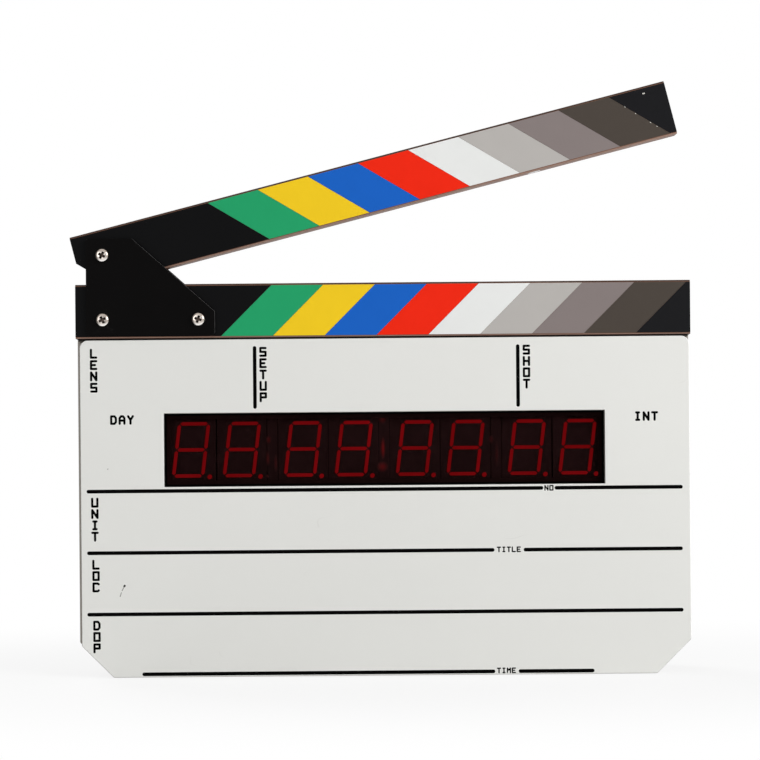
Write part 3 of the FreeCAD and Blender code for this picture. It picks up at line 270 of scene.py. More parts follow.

# %% [markdown]
# On this object the big faces look along Y, so the small round between such a face and its side has
# a normal in between. The group finds that round from the normal and says which way it looks, so
# that a finish can give upper, lower, left-facing and down-facing rounds tones of their own. On the
# board, the hinge plate and the hinge screws these tones are painted highlight, painted shade and
# painted reflection. A mask image could hold these tones too, but the normal knows the edges of
# every piece without one.

# %% Group: edge light and tone


def make_edge_light_and_tone():
    labels = ("Mask", "Right Mask", "Left", "Up", "Under")
    tree, _, out = open_group("edge light and tone", "ShaderNodeTree", {}, dict.fromkeys(labels, "Float"))
    x, y, z = axes_of(tree, add(tree, "ShaderNodeTexCoord").outputs["Normal"])
    facing = calc(tree, "MULTIPLY", y, y)
    between = calc(tree, "MULTIPLY", facing, calc(tree, "SUBTRACT", 1.0, facing))
    mask = calc(tree, "MINIMUM", calc(tree, "MULTIPLY", between, 8.0), 1.0)
    fill(
        tree,
        out,
        {
            "Mask": mask,
            "Right Mask": calc(tree, "MULTIPLY", mask, map_range(tree, x, 0.15, 0.5)),
            "Left": map_range(tree, x, -0.5, -0.15, 1.0, 0.0),
            "Up": map_range(tree, z, -0.45, -0.15),
            "Under": map_range(tree, z, -0.8, -0.55, 1.0, 0.0),
        },
    )
    return tree


EDGE_LIGHT_AND_TONE = make_edge_light_and_tone()
print("group:", EDGE_LIGHT_AND_TONE.name)

# %% [markdown]
# Each finish is one material. `finish` makes the common case: an uneven colour, a grain for bump
# and, where the surface is handled, hairline scratches that show a second colour. Its rounded edges
# can have tones of their own by the way they face, which paint highlight, shade and reflection on
# them, and its colour can grow lighter towards the far end of a stick, a painted sheen. Images could
# hold all this, but nodes stay sharp at any distance and need no file.

# %% Finish recipe
EDGE_SHARE = 0.9
GRAIN_DEPTH = 0.1 * MM


def place_group(tree, group, values):
    return add(tree, "ShaderNodeGroup", values, node_tree=group).outputs


def new_material(name):
    made = bpy.data.materials.new(name)
    made.use_nodes = True
    tree = made.node_tree
    return made, tree, next(node for node in tree.nodes if node.type == "BSDF_PRINCIPLED")


def bump(tree, height, strength, depth):
    inputs = {"Height": height, "Strength": strength, "Distance": depth}
    return add(tree, "ShaderNodeBump", inputs).outputs[0]


def finish(
    name, colour, roughness=0.5, metallic=0.0, patch=(40.0, 0.06), spread=0.12,
    grain=(1500.0, 0.05), scratch=None, specular=0.5, edge=None, far_end=None,
):
    """A material from screen colours. Patches and grain are given as a scale and a strength."""
    made, tree, shader = new_material(name)
    shown = tint(*colour)
    # A lighter colour towards the far end is a painted sheen.
    if far_end:
        far_colour, near, far = far_end
        along = map_range(tree, axes_of(tree, object_spot(tree))[0], near, far)
        shown = blend(tree, along, shown, tint(*far_colour))
    values = {
        "Colour": shown,
        "Patch Scale": patch[0],
        "Patch Strength": patch[1],
        "Roughness": roughness,
        "Roughness Spread": spread,
        "Grain Scale": grain[0],
    }
    surface = place_group(tree, UNEVEN, values)
    shown = surface["Colour"]
    if scratch:
        scratch_colour, scale, amount, strength = scratch
        lines = place_group(tree, HAIRLINES, {"Scale": scale, "Amount": amount})
        share = calc(tree, "MULTIPLY", lines["Mask"], strength)
        shown = blend(tree, share, shown, tint(*scratch_colour))
    # Edge tones by facing: painted highlight, painted shade and painted reflection on the rounds.
    if edge:
        upper, lower, left, where = edge
        edge_facing = place_group(tree, EDGE_LIGHT_AND_TONE, {})
        tone = blend(tree, edge_facing["Up"], tint(*lower), tint(*upper))
        tone = blend(tree, edge_facing["Left"], tone, tint(*left))
        share = calc(tree, "MULTIPLY", edge_facing[where], EDGE_SHARE)
        shown = blend(tree, share, shown, tone)
    values = {
        "Base Color": shown,
        "Roughness": surface["Roughness"],
        "Metallic": metallic,
        "Specular IOR Level": specular,
        "Normal": bump(tree, surface["Height"], grain[1], GRAIN_DEPTH),
    }
    fill(tree, shader.inputs, values)
    return made


print("finish recipe ready")

# %% [markdown]
# One table holds the finishes of the painted, metal and plastic parts. Each is named after the slot
# that the solids' record gives it. The hinge screws are polished, and their rims carry a painted
# reflection: nearly black on the left, where the dark plate would show in them, darker above and
# bright below. The board's rounded edges carry a painted highlight above and painted shade below and
# on the left, the hinge plate's edges that face right a painted highlight, and the cross recesses of
# the screws painted shade.

# %% Table of finishes
FINISHES = {
    # Painted highlight on the upper edges, painted shade on the lower ones, and a dark line of
    # painted shade on the left.
    "plate_white": dict(
        colour=(228, 228, 224), roughness=0.36, patch=(16.0, 0.012), spread=0.1,
        grain=(700.0, 0.02), scratch=((196, 194, 188), 26.0, 0.34, 0.3), specular=0.3,
        edge=((252, 252, 250), (164, 161, 154), (98, 92, 87), "Mask"),
    ),
    "pan_paint": dict(
        colour=(136, 130, 122), roughness=0.46, patch=(30.0, 0.05), grain=(1400.0, 0.3),
        scratch=((178, 173, 166), 22.0, 0.38, 0.5),
    ),
    # A painted highlight on the edges that face up and to the right.
    "hinge_black": dict(
        colour=(9, 8, 8), roughness=0.42, patch=(60.0, 0.2), grain=(1600.0, 0.14),
        scratch=((34, 32, 31), 48.0, 0.42, 0.6), specular=0.03,
        edge=((126, 124, 124), (40, 38, 38), (40, 38, 38), "Right Mask"),
    ),
    # Painted reflection on the rims: darker above, nearly black on the left, bright below. The
    # strong patches are painted reflections too.
    "screw_polished": dict(
        colour=(216, 207, 199), roughness=0.14, metallic=1.0, patch=(400.0, 2.0),
        grain=(2600.0, 0.06), edge=((176, 164, 154), (254, 250, 246), (40, 33, 29), "Mask"),
    ),
    "screw_bright": dict(
        colour=(196, 193, 187), roughness=0.22, metallic=1.0, patch=(420.0, 0.3),
        grain=(2600.0, 0.06),
    ),
    "screw_steel": dict(colour=(172, 170, 166), roughness=0.3, metallic=1.0, grain=(2600.0, 0.12)),
    # Darker metal for the cross recess of a screw: painted shade.
    "recess_shade": dict(colour=(72, 62, 56), roughness=0.4, metallic=1.0, patch=(700.0, 1.4)),
    "post_metal": dict(colour=(196, 194, 190), roughness=0.35, metallic=1.0),
    "contact_plate": dict(colour=(200, 196, 186), roughness=0.25, metallic=1.0),
    "bush_brass": dict(colour=(180, 146, 82), roughness=0.3, metallic=1.0),
    "magnet_plate": dict(colour=(190, 190, 190), roughness=0.22, metallic=1.0),
    "reed_glass": dict(colour=(150, 170, 150), roughness=0.1),
    "lamp_sheet": dict(colour=(224, 226, 214), roughness=0.6),
    "digit_black": dict(colour=(80, 50, 50), roughness=0.6, patch=(90.0, 0.25), specular=0.0),
    "circuit_green": dict(colour=(28, 82, 52), roughness=0.4),
    "chip_black": dict(colour=(28, 28, 30), roughness=0.5),
    "switch_plastic": dict(colour=(34, 34, 36), roughness=0.45, grain=(1800.0, 0.15)),
    "knob_black": dict(colour=(24, 24, 25), roughness=0.42, grain=(1800.0, 0.2)),
    "button_red": dict(colour=(176, 26, 24), roughness=0.32),
    "box_plastic": dict(colour=(44, 44, 46), roughness=0.55, grain=(1200.0, 0.2)),
    "cell_wrap": dict(colour=(60, 78, 104), roughness=0.3),
    "strip_rubber": dict(colour=(8, 7, 7), roughness=0.75, grain=(1500.0, 0.3), specular=0.1),
}
finishes = {name: finish(name, **values) for name, values in FINISHES.items()}
print("finishes:", len(finishes))

# %% [markdown]
# The sticks show bare wood on their edges and backs. The grain group gives the colour, and the edge
# group makes the upper rounds darker and the lower ones paler. The round that looks straight down is
# pale on the raised stick and nearly black on the lower one, a painted shade over the gap above the
# board.

# %% Wood finishes
WOOD_LIGHT = (140, 100, 78)
WOOD_DARK = (84, 52, 38)
WOOD_PALE = (162, 132, 118)
# The darkest wood tone, for the upper rounds. On the lower stick it is also the painted shade of its
# down-facing round.
WOOD_DARK_EDGE = (36, 21, 16)
WOOD_EDGE_SHARE = 0.85
REST_ANGLE = math.radians(14.3)


def wood_finish(name, under, turn):
    made, tree, shader = new_material(name)
    values = {"Light": tint(*WOOD_LIGHT), "Dark": tint(*WOOD_DARK), "Turn": (0.0, turn, 0.0)}
    grain = place_group(tree, WOOD_GRAIN, values)
    edge_facing = place_group(tree, EDGE_LIGHT_AND_TONE, {})
    tone = blend(tree, edge_facing["Up"], tint(*WOOD_PALE), tint(*WOOD_DARK_EDGE))
    tone = blend(tree, edge_facing["Under"], tone, tint(*under))
    share = calc(tree, "MULTIPLY", edge_facing["Mask"], WOOD_EDGE_SHARE)
    shown = blend(tree, share, grain["Colour"], tone)
    surface = place_group(tree, UNEVEN, {"Colour": shown, "Roughness": 0.48})
    values = {
        "Base Color": surface["Colour"],
        "Roughness": surface["Roughness"],
        "Specular IOR Level": 0.25,
        "Normal": bump(tree, grain["Height"], 0.25, 0.15 * MM),
    }
    fill(tree, shader.inputs, values)
    return made


# On the lower stick the down-facing round takes the darkest wood tone, painted shade over the gap
# above the board.
finishes["stick_wood"] = wood_finish("stick_wood", WOOD_DARK_EDGE, 0.0)
finishes["stick_wood_tilted"] = wood_finish("stick_wood_tilted", WOOD_PALE, -REST_ANGLE)
print("wood finishes for two sticks")

# %% [markdown]
# The colour fields on the sticks are a matt film. Each colour gets the same recipe with paler
# scratches, which show more on the dark fields. The black field grows lighter towards the far end, a
# painted sheen where the light from the right falls on it. One image could colour a whole stick, but
# each field is a solid of its own and so takes one material.

# %% Stripe finishes
STRIPES = {
    "black": (10, 10, 11),
    "green": (38, 160, 104),
    "yellow": (243, 203, 36),
    "blue": (28, 98, 194),
    "red": (240, 42, 20),
    "white": (232, 233, 231),
    "light_grey": (182, 178, 174),
    "mid_grey": (133, 123, 121),
    "dark_grey": (75, 68, 62),
}
# Black grows lighter towards the far end: a painted sheen.
BLACK_SHEEN_END = ((25, 25, 27), -60.0 * MM, 110.0 * MM)
for colour_name, colour in STRIPES.items():
    paler = [channel * 0.8 + 40 for channel in colour]
    strength = 0.4 if colour_name in ("black", "dark_grey") else 0.2
    finishes[f"stripe_{colour_name}"] = finish(
        f"stripe_{colour_name}",
        colour,
        roughness=0.44,
        patch=(70.0, 0.035),
        spread=0.1,
        grain=(2400.0, 0.1),
        scratch=(paler, 60.0, 0.32, strength),
        specular=0.05,
        far_end=BLACK_SHEEN_END if colour_name == "black" else None,
    )
print("stripe finishes:", len(STRIPES))

# %% [markdown]
# The display window is dark red plastic. Seen from outside it is nearly black, and the unlit digits
# show through it as dull red. Alpha lets the camera look straight through without the noise of real
# refraction. The digits carry a little light of their own, which stands in for light that scatters
# in their milky plastic.

# %% Display finishes
BLACK = (0.0, 0.0, 0.0, 1.0)


def filter_finish(name):
    """Black that takes away a share of the light, a little more in some patches than in others."""
    made, tree, shader = new_material(name)
    values = {"Patch Scale": 24.0, "Roughness": 0.4, "Roughness Spread": 0.08}
    haze = place_group(tree, UNEVEN, values)["Roughness"]
    values = {"Base Color": BLACK, "Roughness": 0.2, "Alpha": haze, "Specular IOR Level": 0.0}
    fill(tree, shader.inputs, values)
    return made


def segment_finish(name, colour, glow, strength, faded=False):
    """Milky plastic with a light of its own, which a faded piece dims by its own glow attribute."""
    made, tree, shader = new_material(name)
    values = {"Patch Scale": 45.0, "Patch Strength": 0.35, "Roughness": 0.5}
    surface = place_group(tree, UNEVEN, {"Colour": tint(*glow), **values})
    shown = surface["Colour"]
    if faded:
        share = add(tree, "ShaderNodeAttribute", attribute_name="glow").outputs["Fac"]
        shown = blend(tree, share, BLACK, shown)
    values = {
        "Base Color": tint(*colour),
        "Roughness": surface["Roughness"],
        "Emission Color": shown,
        "Emission Strength": strength,
        "Specular IOR Level": 0.0,
    }
    fill(tree, shader.inputs, values)
    return made


finishes["filter_red"] = filter_finish("filter_red")
finishes["board_dark"] = segment_finish("board_dark", (22, 18, 18), (36, 18, 19), 1.4)
finishes["segment_red"] = segment_finish("segment_red", (120, 12, 14), (214, 26, 34), 0.5)
print("all finishes:", len(finishes))

# %% [markdown]
# Every solid of the frame now gets the finish of its slot. The upper stick uses the tilted wood. The
# board behind the digits is dark and carries a little of their stray light, so that the gaps between
# them don't show as lines.

# %% Dress the solids
OWN_FINISH = {"upper_stick": "stick_wood_tilted", "display_board": "board_dark"}


def dress(piece, made):
    if piece.data.materials:
        piece.data.materials[0] = made
    else:
        piece.data.materials.append(made)


def finish_of(node):
    return finishes[OWN_FINISH.get(node, slot_of[node])]


for node, solid in frame["nodes"].items():
    dress(solid, finish_of(node))
print("solids dressed:", len(frame["nodes"]))

# %% [markdown]
# Every new piece goes through the same few steps.

# %% Helpers for pieces


def link(name, mesh):
    piece = bpy.data.objects.new(name, mesh)
    bpy.context.scene.collection.objects.link(piece)
    return piece


def piece_from(name, shape):
    """A piece with the faces of a bmesh, which is then freed."""
    mesh = bpy.data.meshes.new(name)
    shape.to_mesh(mesh)
    shape.free()
    return link(name, mesh)


def settle(piece):
    graph = bpy.context.evaluated_depsgraph_get()
    made = bpy.data.meshes.new_from_object(piece.evaluated_get(graph))
    piece.modifiers.clear()
    piece.data = made
    return piece


def smooth_by_angle(mesh, degrees=32):
    shape = bmesh.new()
    shape.from_mesh(mesh)
    limit = math.radians(degrees)
    for face in shape.faces:
        face.smooth = True
    for edge in shape.edges:
        edge.smooth = len(edge.link_faces) == 2 and edge.calc_face_angle() < limit
    shape.to_mesh(mesh)
    shape.free()


def attach(piece, body, slot, *nodes):
    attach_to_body(piece, body)
    if nodes:
        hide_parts(*nodes)
    return piece


print("piece helpers ready")

# %% [markdown]
# A real edge is never razor sharp, and its small round catches the light. `soften` copies a solid,
# merges its loose triangles, and lets a Bevel modifier round only the sharp edges. The copy then
# stands for the solid. A shader could fake the round, but here the round is made of real faces. On
# the sticks the long edges are worn more than the sawn ends.

# %% Soft edges
SHARP = math.radians(38)
FLAT = math.radians(0.6)
MERGE = 0.002 * MM
SOFT_EDGES = {
    "face_plate": 0.35,
    "display_filter": 0.12,
    "chassis": 0.2,
    "rear_cover": 0.3,
    "battery_cover": 0.3,
    "front_hinge_plate": 0.3,
    "rear_hinge_plate": 0.3,
    "hinge_nuts": 0.25,
    "panel_nuts": 0.2,
    "jack_nut": 0.25,
    "timecode_jack": 0.25,
    "rate_knob": 0.3,
    "set_button": 0.4,
    "control_tray": 0.25,
}
STICK_EDGES = {"width": 0.85, "long_edge": 100.0, "short_share": 0.3}


def soften(node, width, long_edge=0.0, short_share=1.0):
    """A copy with round edges. Edges shorter than long_edge get only a share of the width."""
    mesh = frame["nodes"][node].data.copy()
    shape = bmesh.new()
    shape.from_mesh(mesh)
    bmesh.ops.remove_doubles(shape, verts=shape.verts, dist=MERGE)
    bmesh.ops.dissolve_limit(shape, angle_limit=FLAT, verts=shape.verts, edges=shape.edges)
    weight = shape.edges.layers.float.new("bevel_weight_edge")
    for edge in shape.edges:
        if len(edge.link_faces) == 2 and edge.calc_face_angle() > SHARP:
            edge[weight] = 1.0 if edge.calc_length() > long_edge * MM else short_share
    shape.to_mesh(mesh)
    shape.free()
    piece = link(f"{node}_soft_edged", mesh)
    bevel = piece.modifiers.new("soft edges", "BEVEL")
    bevel.width = width * MM
    bevel.segments = 3
    bevel.limit_method = "WEIGHT"
    bevel.use_clamp_overlap = True
    settle(piece)
    smooth_by_angle(piece.data)
    piece.modifiers.new("flat faces stay flat", "WEIGHTED_NORMAL").keep_sharp = True
    settle(piece)
    dress(piece, finish_of(node))
    return attach(piece, body_of[node], slot_of[node], node)


softened = [soften(node, width) for node, width in SOFT_EDGES.items()]
softened += [soften(node, **STICK_EDGES) for node in ("lower_stick", "upper_stick")]
for piece in softened:
    print(piece.name, len(piece.data.polygons), "faces")

# %% [markdown]
# Rules and words are printed on the board. Each is a line of constant width with round ends, so one
# Geometry Nodes tree can make them all: it turns edges into round tubes, puts a ball on each point,
# and presses the result flat into a film of ink. Each straight run is an edge of its own, because a
# tube thins where it turns a sharp corner. The same tree draws the marks around the switches.

# %% Geometry Nodes: ink lines


def make_ink_tree():
    tree, given, out = open_group(
        "ink lines",
        "GeometryNodeTree",
        {
            "Geometry": ("Geometry", None),
            "Line Width": ("Float", 1.5 * MM),
            "Ink Height": ("Float", 0.04 * MM),
            "Material": ("Material", None),
        },
        {"Geometry": "Geometry"},
    )
    drawn = given["Geometry"]
    radius = calc(tree, "DIVIDE", given["Line Width"], 2.0)
    path = add(tree, "GeometryNodeMeshToCurve", {"Mesh": drawn}).outputs[0]
    inputs = {"Resolution": 12, "Radius": radius}
    ring = add(tree, "GeometryNodeCurvePrimitiveCircle", inputs).outputs[0]
    tube = add(tree, "GeometryNodeCurveToMesh", {"Curve": path, "Profile Curve": ring})
    inputs = {"Segments": 16, "Rings": 8, "Radius": radius}
    ball = add(tree, "GeometryNodeMeshUVSphere", inputs).outputs["Mesh"]
    knot = add(tree, "GeometryNodeInputNamedAttribute", {"Name": "knot"}, data_type="BOOLEAN")
    inputs = {"Points": drawn, "Selection": knot.outputs["Attribute"], "Instance": ball}
    ends = add(tree, "GeometryNodeInstanceOnPoints", inputs)
    whole = add(tree, "GeometryNodeJoinGeometry")
    for part in (tube, ends):
        tree.links.new(part.outputs[0], whole.inputs[0])
    single = add(tree, "GeometryNodeRealizeInstances", {"Geometry": whole.outputs[0]}).outputs[0]
    x, y, z = axes_of(tree, add(tree, "GeometryNodeInputPosition").outputs[0])
    press = calc(tree, "DIVIDE", given["Ink Height"], radius)
    flat = add(tree, "ShaderNodeCombineXYZ", {0: x, 1: calc(tree, "MULTIPLY", y, press), 2: z})
    inputs = {"Geometry": single, "Position": flat.outputs[0]}
    pressed = add(tree, "GeometryNodeSetPosition", inputs).outputs[0]
    inputs = {"Geometry": pressed, "Material": given["Material"]}
    fill(tree, out, {"Geometry": add(tree, "GeometryNodeSetMaterial", inputs).outputs[0]})
    return tree


INK_TREE = make_ink_tree()
print("tree:", INK_TREE.name)

# %% [markdown]
# `print_lines` gives the tree its points and edges, and keeps the result as a plain mesh. On the
# board, black ink draws the long rules and the two uprights, measured in millimetres.

# %% Rules on the board
PRINT_BLACK = finish("print_black", (4, 4, 4), roughness=0.5, patch=(300.0, 0.2), specular=0.01)
PLATE_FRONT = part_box("face_plate")[0].y
INK_HEIGHT = 0.04
RULE_WIDTH = 1.7
UPRIGHT_WIDTH = 1.65
RULES = (
    (-135.3, 72.3, 84.95),
    (77.4, 135.7, 84.95),
    (-135.3, 49.9, 56.95),
    (63.1, 135.5, 56.95),
    (-135.4, 135.6, 29.05),
    (-110.6, 49.8, 1.75),
    (60.4, 94.9, 1.75),
)
UPRIGHTS = ((-58.4, 122.0, 150.5), (61.2, 121.9, 150.3))


def run_tree(piece, tree, values):
    """Give a piece the tree, set its inputs by identifier, and keep the result as a plain mesh."""
    modifier = piece.modifiers.new(tree.name, "NODES")
    modifier.node_group = tree
    for item in tree.interface.items_tree:
        if item.item_type == "SOCKET" and item.in_out == "INPUT" and item.name in values:
            modifier[item.identifier] = values[item.name]
    bpy.context.view_layer.update()
    return settle(piece)


def print_lines(name, lines, width, depth, made, body, slot, height=INK_HEIGHT):
    """Ink along lines given as points in millimetres, X and Z, on the plane at a depth."""
    points = []
    knots = []
    for line in lines:
        for step, run in enumerate(zip(line, line[1:])):
            points += [(x * MM, 0.0, z * MM) for x, z in run]
            knots += [True, step == len(line) - 2]
    mesh = bpy.data.meshes.new(name)
    mesh.from_pydata(points, [(start, start + 1) for start in range(0, len(points), 2)], [])
    mesh.attributes.new("knot", "BOOLEAN", "POINT").data.foreach_set("value", knots)
    piece = link(name, mesh)
    values = {"Line Width": width * MM, "Ink Height": height * MM, "Material": made}
    run_tree(piece, INK_TREE, values)
    piece.data.transform(Matrix.Translation((0.0, depth, 0.0)))
    smooth_by_angle(piece.data, 60)
    return attach(piece, body, slot)


def print_on_board(name, lines, width, made=PRINT_BLACK, height=INK_HEIGHT):
    print_lines(name, lines, width, PLATE_FRONT, made, "board", "plate_white", height)
    print(name, len(lines), "lines")


half = RULE_WIDTH / 2
print_on_board(
    "board_rules",
    [[(left + half, z), (right - half, z)] for left, right, z in RULES],
    RULE_WIDTH,
)
half = UPRIGHT_WIDTH / 2
print_on_board(
    "board_uprights",
    [[(x, low + half), (x, high - half)] for x, low, high in UPRIGHTS],
    UPRIGHT_WIDTH,
)

# %% [markdown]
# The words beside the rules are plain field names in a squared plotter alphabet. Each letter is
# drawn as a few lines in a unit cell, then scaled to its place. A font would need a file and could
# not keep the even stroke. In the table a line is a row of places, across and up.

# %% Alphabet
LETTERS = {
    "A": "0,0 0,.75 .3,1 .7,1 1,.75 1,0; 0,.42 1,.42",
    "C": "1,.9 .8,1 0,1 0,0 .8,0 1,.1",
    "D": "0,0 0,1 .7,1 1,.75 1,.25 .7,0 0,0",
    "E": "1,1 0,1 0,0 1,0; 0,.5 .75,.5",
    "F": "1,1 0,1 0,0; 0,.5 .75,.5",
    "H": "0,0 0,1; 1,0 1,1; 0,.5 1,.5",
    "I": ".5,0 .5,1; .2,0 .8,0; .2,1 .8,1",
    "L": "0,1 0,0 1,0",
    "M": "0,0 0,1 .5,.55 1,1 1,0",
    "N": "0,0 0,1 1,0 1,1",
    "O": "0,0 0,1 1,1 1,0 0,0",
    "P": "0,0 0,1 1,1 1,.48 0,.48",
    "S": "1,1 0,1 0,.5 1,.5 1,0 0,0",
    "T": "0,1 1,1; .5,1 .5,0",
    "U": "0,1 0,0 1,0 1,1",
    "Y": "0,1 .5,.5 1,1; .5,.5 .5,0",
    "0": "0,0 0,1 1,1 1,0 0,0",
    "2": "0,1 1,1 1,.5 0,.5 0,0 1,0",
    "3": "0,1 1,1 1,0 0,0; .2,.5 1,.5",
    "4": "0,1 0,.45 1,.45; 1,1 1,0",
    "5": "1,1 0,1 0,.55 1,.55 1,0 0,0",
}


def letter(sign, x, z, width, height, facing=1):
    """Lines of one letter whose cell is centred on a place. On the back, facing is -1."""
    lines = []
    for stroke in LETTERS[sign].split(";"):
        line = []
        for place in stroke.split():
            across, up = map(float, place.split(","))
            line.append((x + facing * (across - 0.5) * width, z + (up - 0.5) * height))
        lines.append(line)
    return lines


print("letters and numbers:", len(LETTERS))

# %% [markdown]
# The names of the large fields run down the board, two run across it, and the smallest sit in the
# gaps of the rules. A cell gives a letter's width, its height and the step to the next one.

# %% Field names
TALL_CELL = (2.35, 3.5, 5.15)
WIDE_CELL = (2.15, 3.35, 3.85)
SMALL_CELL = (1.35, 2.0, 2.25)
NAME_STROKE = 1.05
SMALL_STROKE = 0.6
TOP_MARGIN = 0.42
DOWN_WORDS = (
    ("LENS", -131.6, 149.8),
    ("SETUP", -54.6, 150.0),
    ("SHOT", 65.1, 150.0),
    ("UNIT", -131.6, 82.1),
    ("LOC", -131.3, 53.9),
    ("DOP", -131.1, 26.2),
)
ACROSS_WORDS = (("DAY", -118.9, 117.4), ("INT", 119.3, 117.2))
SMALL_WORDS = (("NO", 74.85, 84.95), ("TITLE", 56.4, 57.15), ("TIME", 54.85, 2.15))


def word_down(word, x, top, cell):
    width, height, pitch = cell
    lines = []
    for step, sign in enumerate(word):
        lines += letter(sign, x, top - TOP_MARGIN - height / 2 - step * pitch, width, height)
    return lines


def word_across(word, x, z, cell, facing=1):
    width, height, pitch = cell
    lines = []
    for step, sign in enumerate(word):
        offset = (step - (len(word) - 1) / 2) * pitch
        lines += letter(sign, x + facing * offset, z, width, height, facing)
    return lines


names = []
for word, x, top in DOWN_WORDS:
    names += word_down(word, x, top, TALL_CELL)
for word, x, z in ACROSS_WORDS:
    names += word_across(word, x, z, WIDE_CELL)
small_names = []
for word, x, z in SMALL_WORDS:
    small_names += word_across(word, x, z, SMALL_CELL)
print_on_board("field_names", names, NAME_STROKE)
print_on_board("small_field_names", small_names, SMALL_STROKE)

# %% [markdown]
# A pen slip near the left edge was never wiped off: a dark dot where the pen touched, and pale
# strokes where it slid away. At the far end of the upper stick a few chips, one of them larger, show
# the white under the colours. They are ink lines too, only thinner and shorter.

# %% Small marks
SPECKLED = {"roughness": 0.6, "patch": (800.0, 0.3)}
PEN_DARK = finish("pen_dark", (40, 40, 37), specular=0.1, **SPECKLED)
PEN_GREY = finish("mark_grey", (150, 149, 144), **SPECKLED)
CHIP_WHITE = finish("chip_white", (204, 201, 194), **SPECKLED)
PEN_DOT = ([(-118.3, 42.1), (-118.5, 41.8)],)
PEN_STROKES = (
    [(-118.6, 41.6), (-119.5, 39.8)],
    [(-119.85, 38.9), (-120.4, 37.2)],
    [(-125.5, 95.2), (-125.55, 95.1)],
)
CHIPS = ((110.8, 257.8), (115.6, 254.8), (122.3, 250.7), (125.3, 248.9))
END_CHIP = ([(119.15, 263.75), (119.65, 263.9)],)
CHIP_RUN = (0.2, -0.12)
DOT_WIDTH = 0.9
SLIP_WIDTH = 0.42
CHIP_WIDTH = 0.34
END_CHIP_WIDTH = 0.62
MARK_HEIGHT = 0.02
SLIP_HEIGHT = 0.015
print_on_board("pen_dots", PEN_DOT, DOT_WIDTH, PEN_DARK, MARK_HEIGHT)
print_on_board("pen_slip", PEN_STROKES, SLIP_WIDTH, PEN_GREY, SLIP_HEIGHT)
stripe_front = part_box("upper_stripe_dark_grey")[0].y
chips = [[(x, z), (x + CHIP_RUN[0], z + CHIP_RUN[1])] for x, z in CHIPS]
on_stick = (stripe_front, CHIP_WHITE, "clap_stick", "stripe_white", MARK_HEIGHT)
print_lines("stick_chips", chips, CHIP_WIDTH, *on_stick)
print_lines("stick_end_chip", END_CHIP, END_CHIP_WIDTH, *on_stick)
print("chips:", len(chips) + len(END_CHIP))

# %% [markdown]
# Repeated hardware is placed by a second tree: it reads points, turns one pattern by each point's
# own angle, and ends in Realize Instances and Set Material, so that the result is plain faces.
# Faces in a pattern's second material slot, such as a screw's recess, keep it.

# %% Geometry Nodes: one pattern at many places


def make_place_tree():
    tree, given, out = open_group(
        "pattern at places",
        "GeometryNodeTree",
        {
            "Geometry": ("Geometry", None),
            "Pattern": ("Object", None),
            "Material": ("Material", None),
        },
        {"Geometry": "Geometry"},
    )
    pattern = add(tree, "GeometryNodeObjectInfo", {"Object": given["Pattern"]})
    angle = add(tree, "GeometryNodeInputNamedAttribute", {"Name": "turn"}, data_type="FLOAT")
    turn = add(tree, "ShaderNodeCombineXYZ", {1: angle.outputs["Attribute"]})
    rotation = add(tree, "FunctionNodeEulerToRotation", {0: turn.outputs[0]})
    inputs = {
        "Points": given["Geometry"],
        "Instance": pattern.outputs["Geometry"],
        "Rotation": rotation.outputs[0],
    }
    many = add(tree, "GeometryNodeInstanceOnPoints", inputs).outputs[0]
    single = add(tree, "GeometryNodeRealizeInstances", {"Geometry": many}).outputs[0]
    inputs = {2: add(tree, "GeometryNodeInputMaterialIndex").outputs[0], 3: 0}
    outer = add(tree, "FunctionNodeCompare", inputs, data_type="INT", operation="EQUAL").outputs[0]
    inputs = {"Geometry": single, "Selection": outer, "Material": given["Material"]}
    fill(tree, out, {"Geometry": add(tree, "GeometryNodeSetMaterial", inputs).outputs[0]})
    return tree


PLACE_TREE = make_place_tree()


def place_copies(name, pattern, places, made, turns=None):
    """One piece with the pattern at each place, turned about Y. The pattern is then removed."""
    mesh = bpy.data.meshes.new(name)
    mesh.from_pydata([tuple(place) for place in places], [], [])
    angles = mesh.attributes.new("turn", "FLOAT", "POINT")
    angles.data.foreach_set("value", turns or [0.0] * len(places))
    piece = link(name, mesh)
    run_tree(piece, PLACE_TREE, {"Pattern": pattern, "Material": made})
    bpy.data.objects.remove(pattern)
    smooth_by_angle(piece.data)
    return piece


print("tree:", PLACE_TREE.name)

# %% [markdown]
# A node of the frame can hold several solids, such as all the screws of one kind. Walking along the
# edges from point to point finds each of them, and its box says where it sits. Places could be typed
# in, but those read from the solids stay right when a size changes.

# %% Boxes of single solids


def solid_boxes(node):
    """The lowest and highest corner of each separate solid in a node."""
    shape = bmesh.new()
    shape.from_mesh(frame["nodes"][node].data)
    bmesh.ops.remove_doubles(shape, verts=shape.verts, dist=MERGE)
    seen = set()
    boxes = []
    for first in shape.verts:
        if first in seen:
            continue
        seen.add(first)
        island = [first]
        for vert in island:
            for edge in vert.link_edges:
                other = edge.other_vert(vert)
                if other not in seen:
                    seen.add(other)
                    island.append(other)
        axes = list(zip(*(vert.co for vert in island)))
        boxes.append((Vector(map(min, axes)), Vector(map(max, axes))))
    shape.free()
    return boxes


def middle(node):
    """The middle of a node's box, by axis."""
    return [(low + high) / 2 for low, high in zip(*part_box(node))]


hinge_boxes = solid_boxes("hinge_screws")
cover_boxes = solid_boxes("cover_screws")
print("hinge screws:", len(hinge_boxes), "cover screws:", len(cover_boxes))

# %% [markdown]
# The screws have pan heads with a cross recess. A lathe profile gives the head its low dome, and a
# Boolean modifier cuts the tapered cross. A bump could only hint at a recess that looks deep from
# every side.

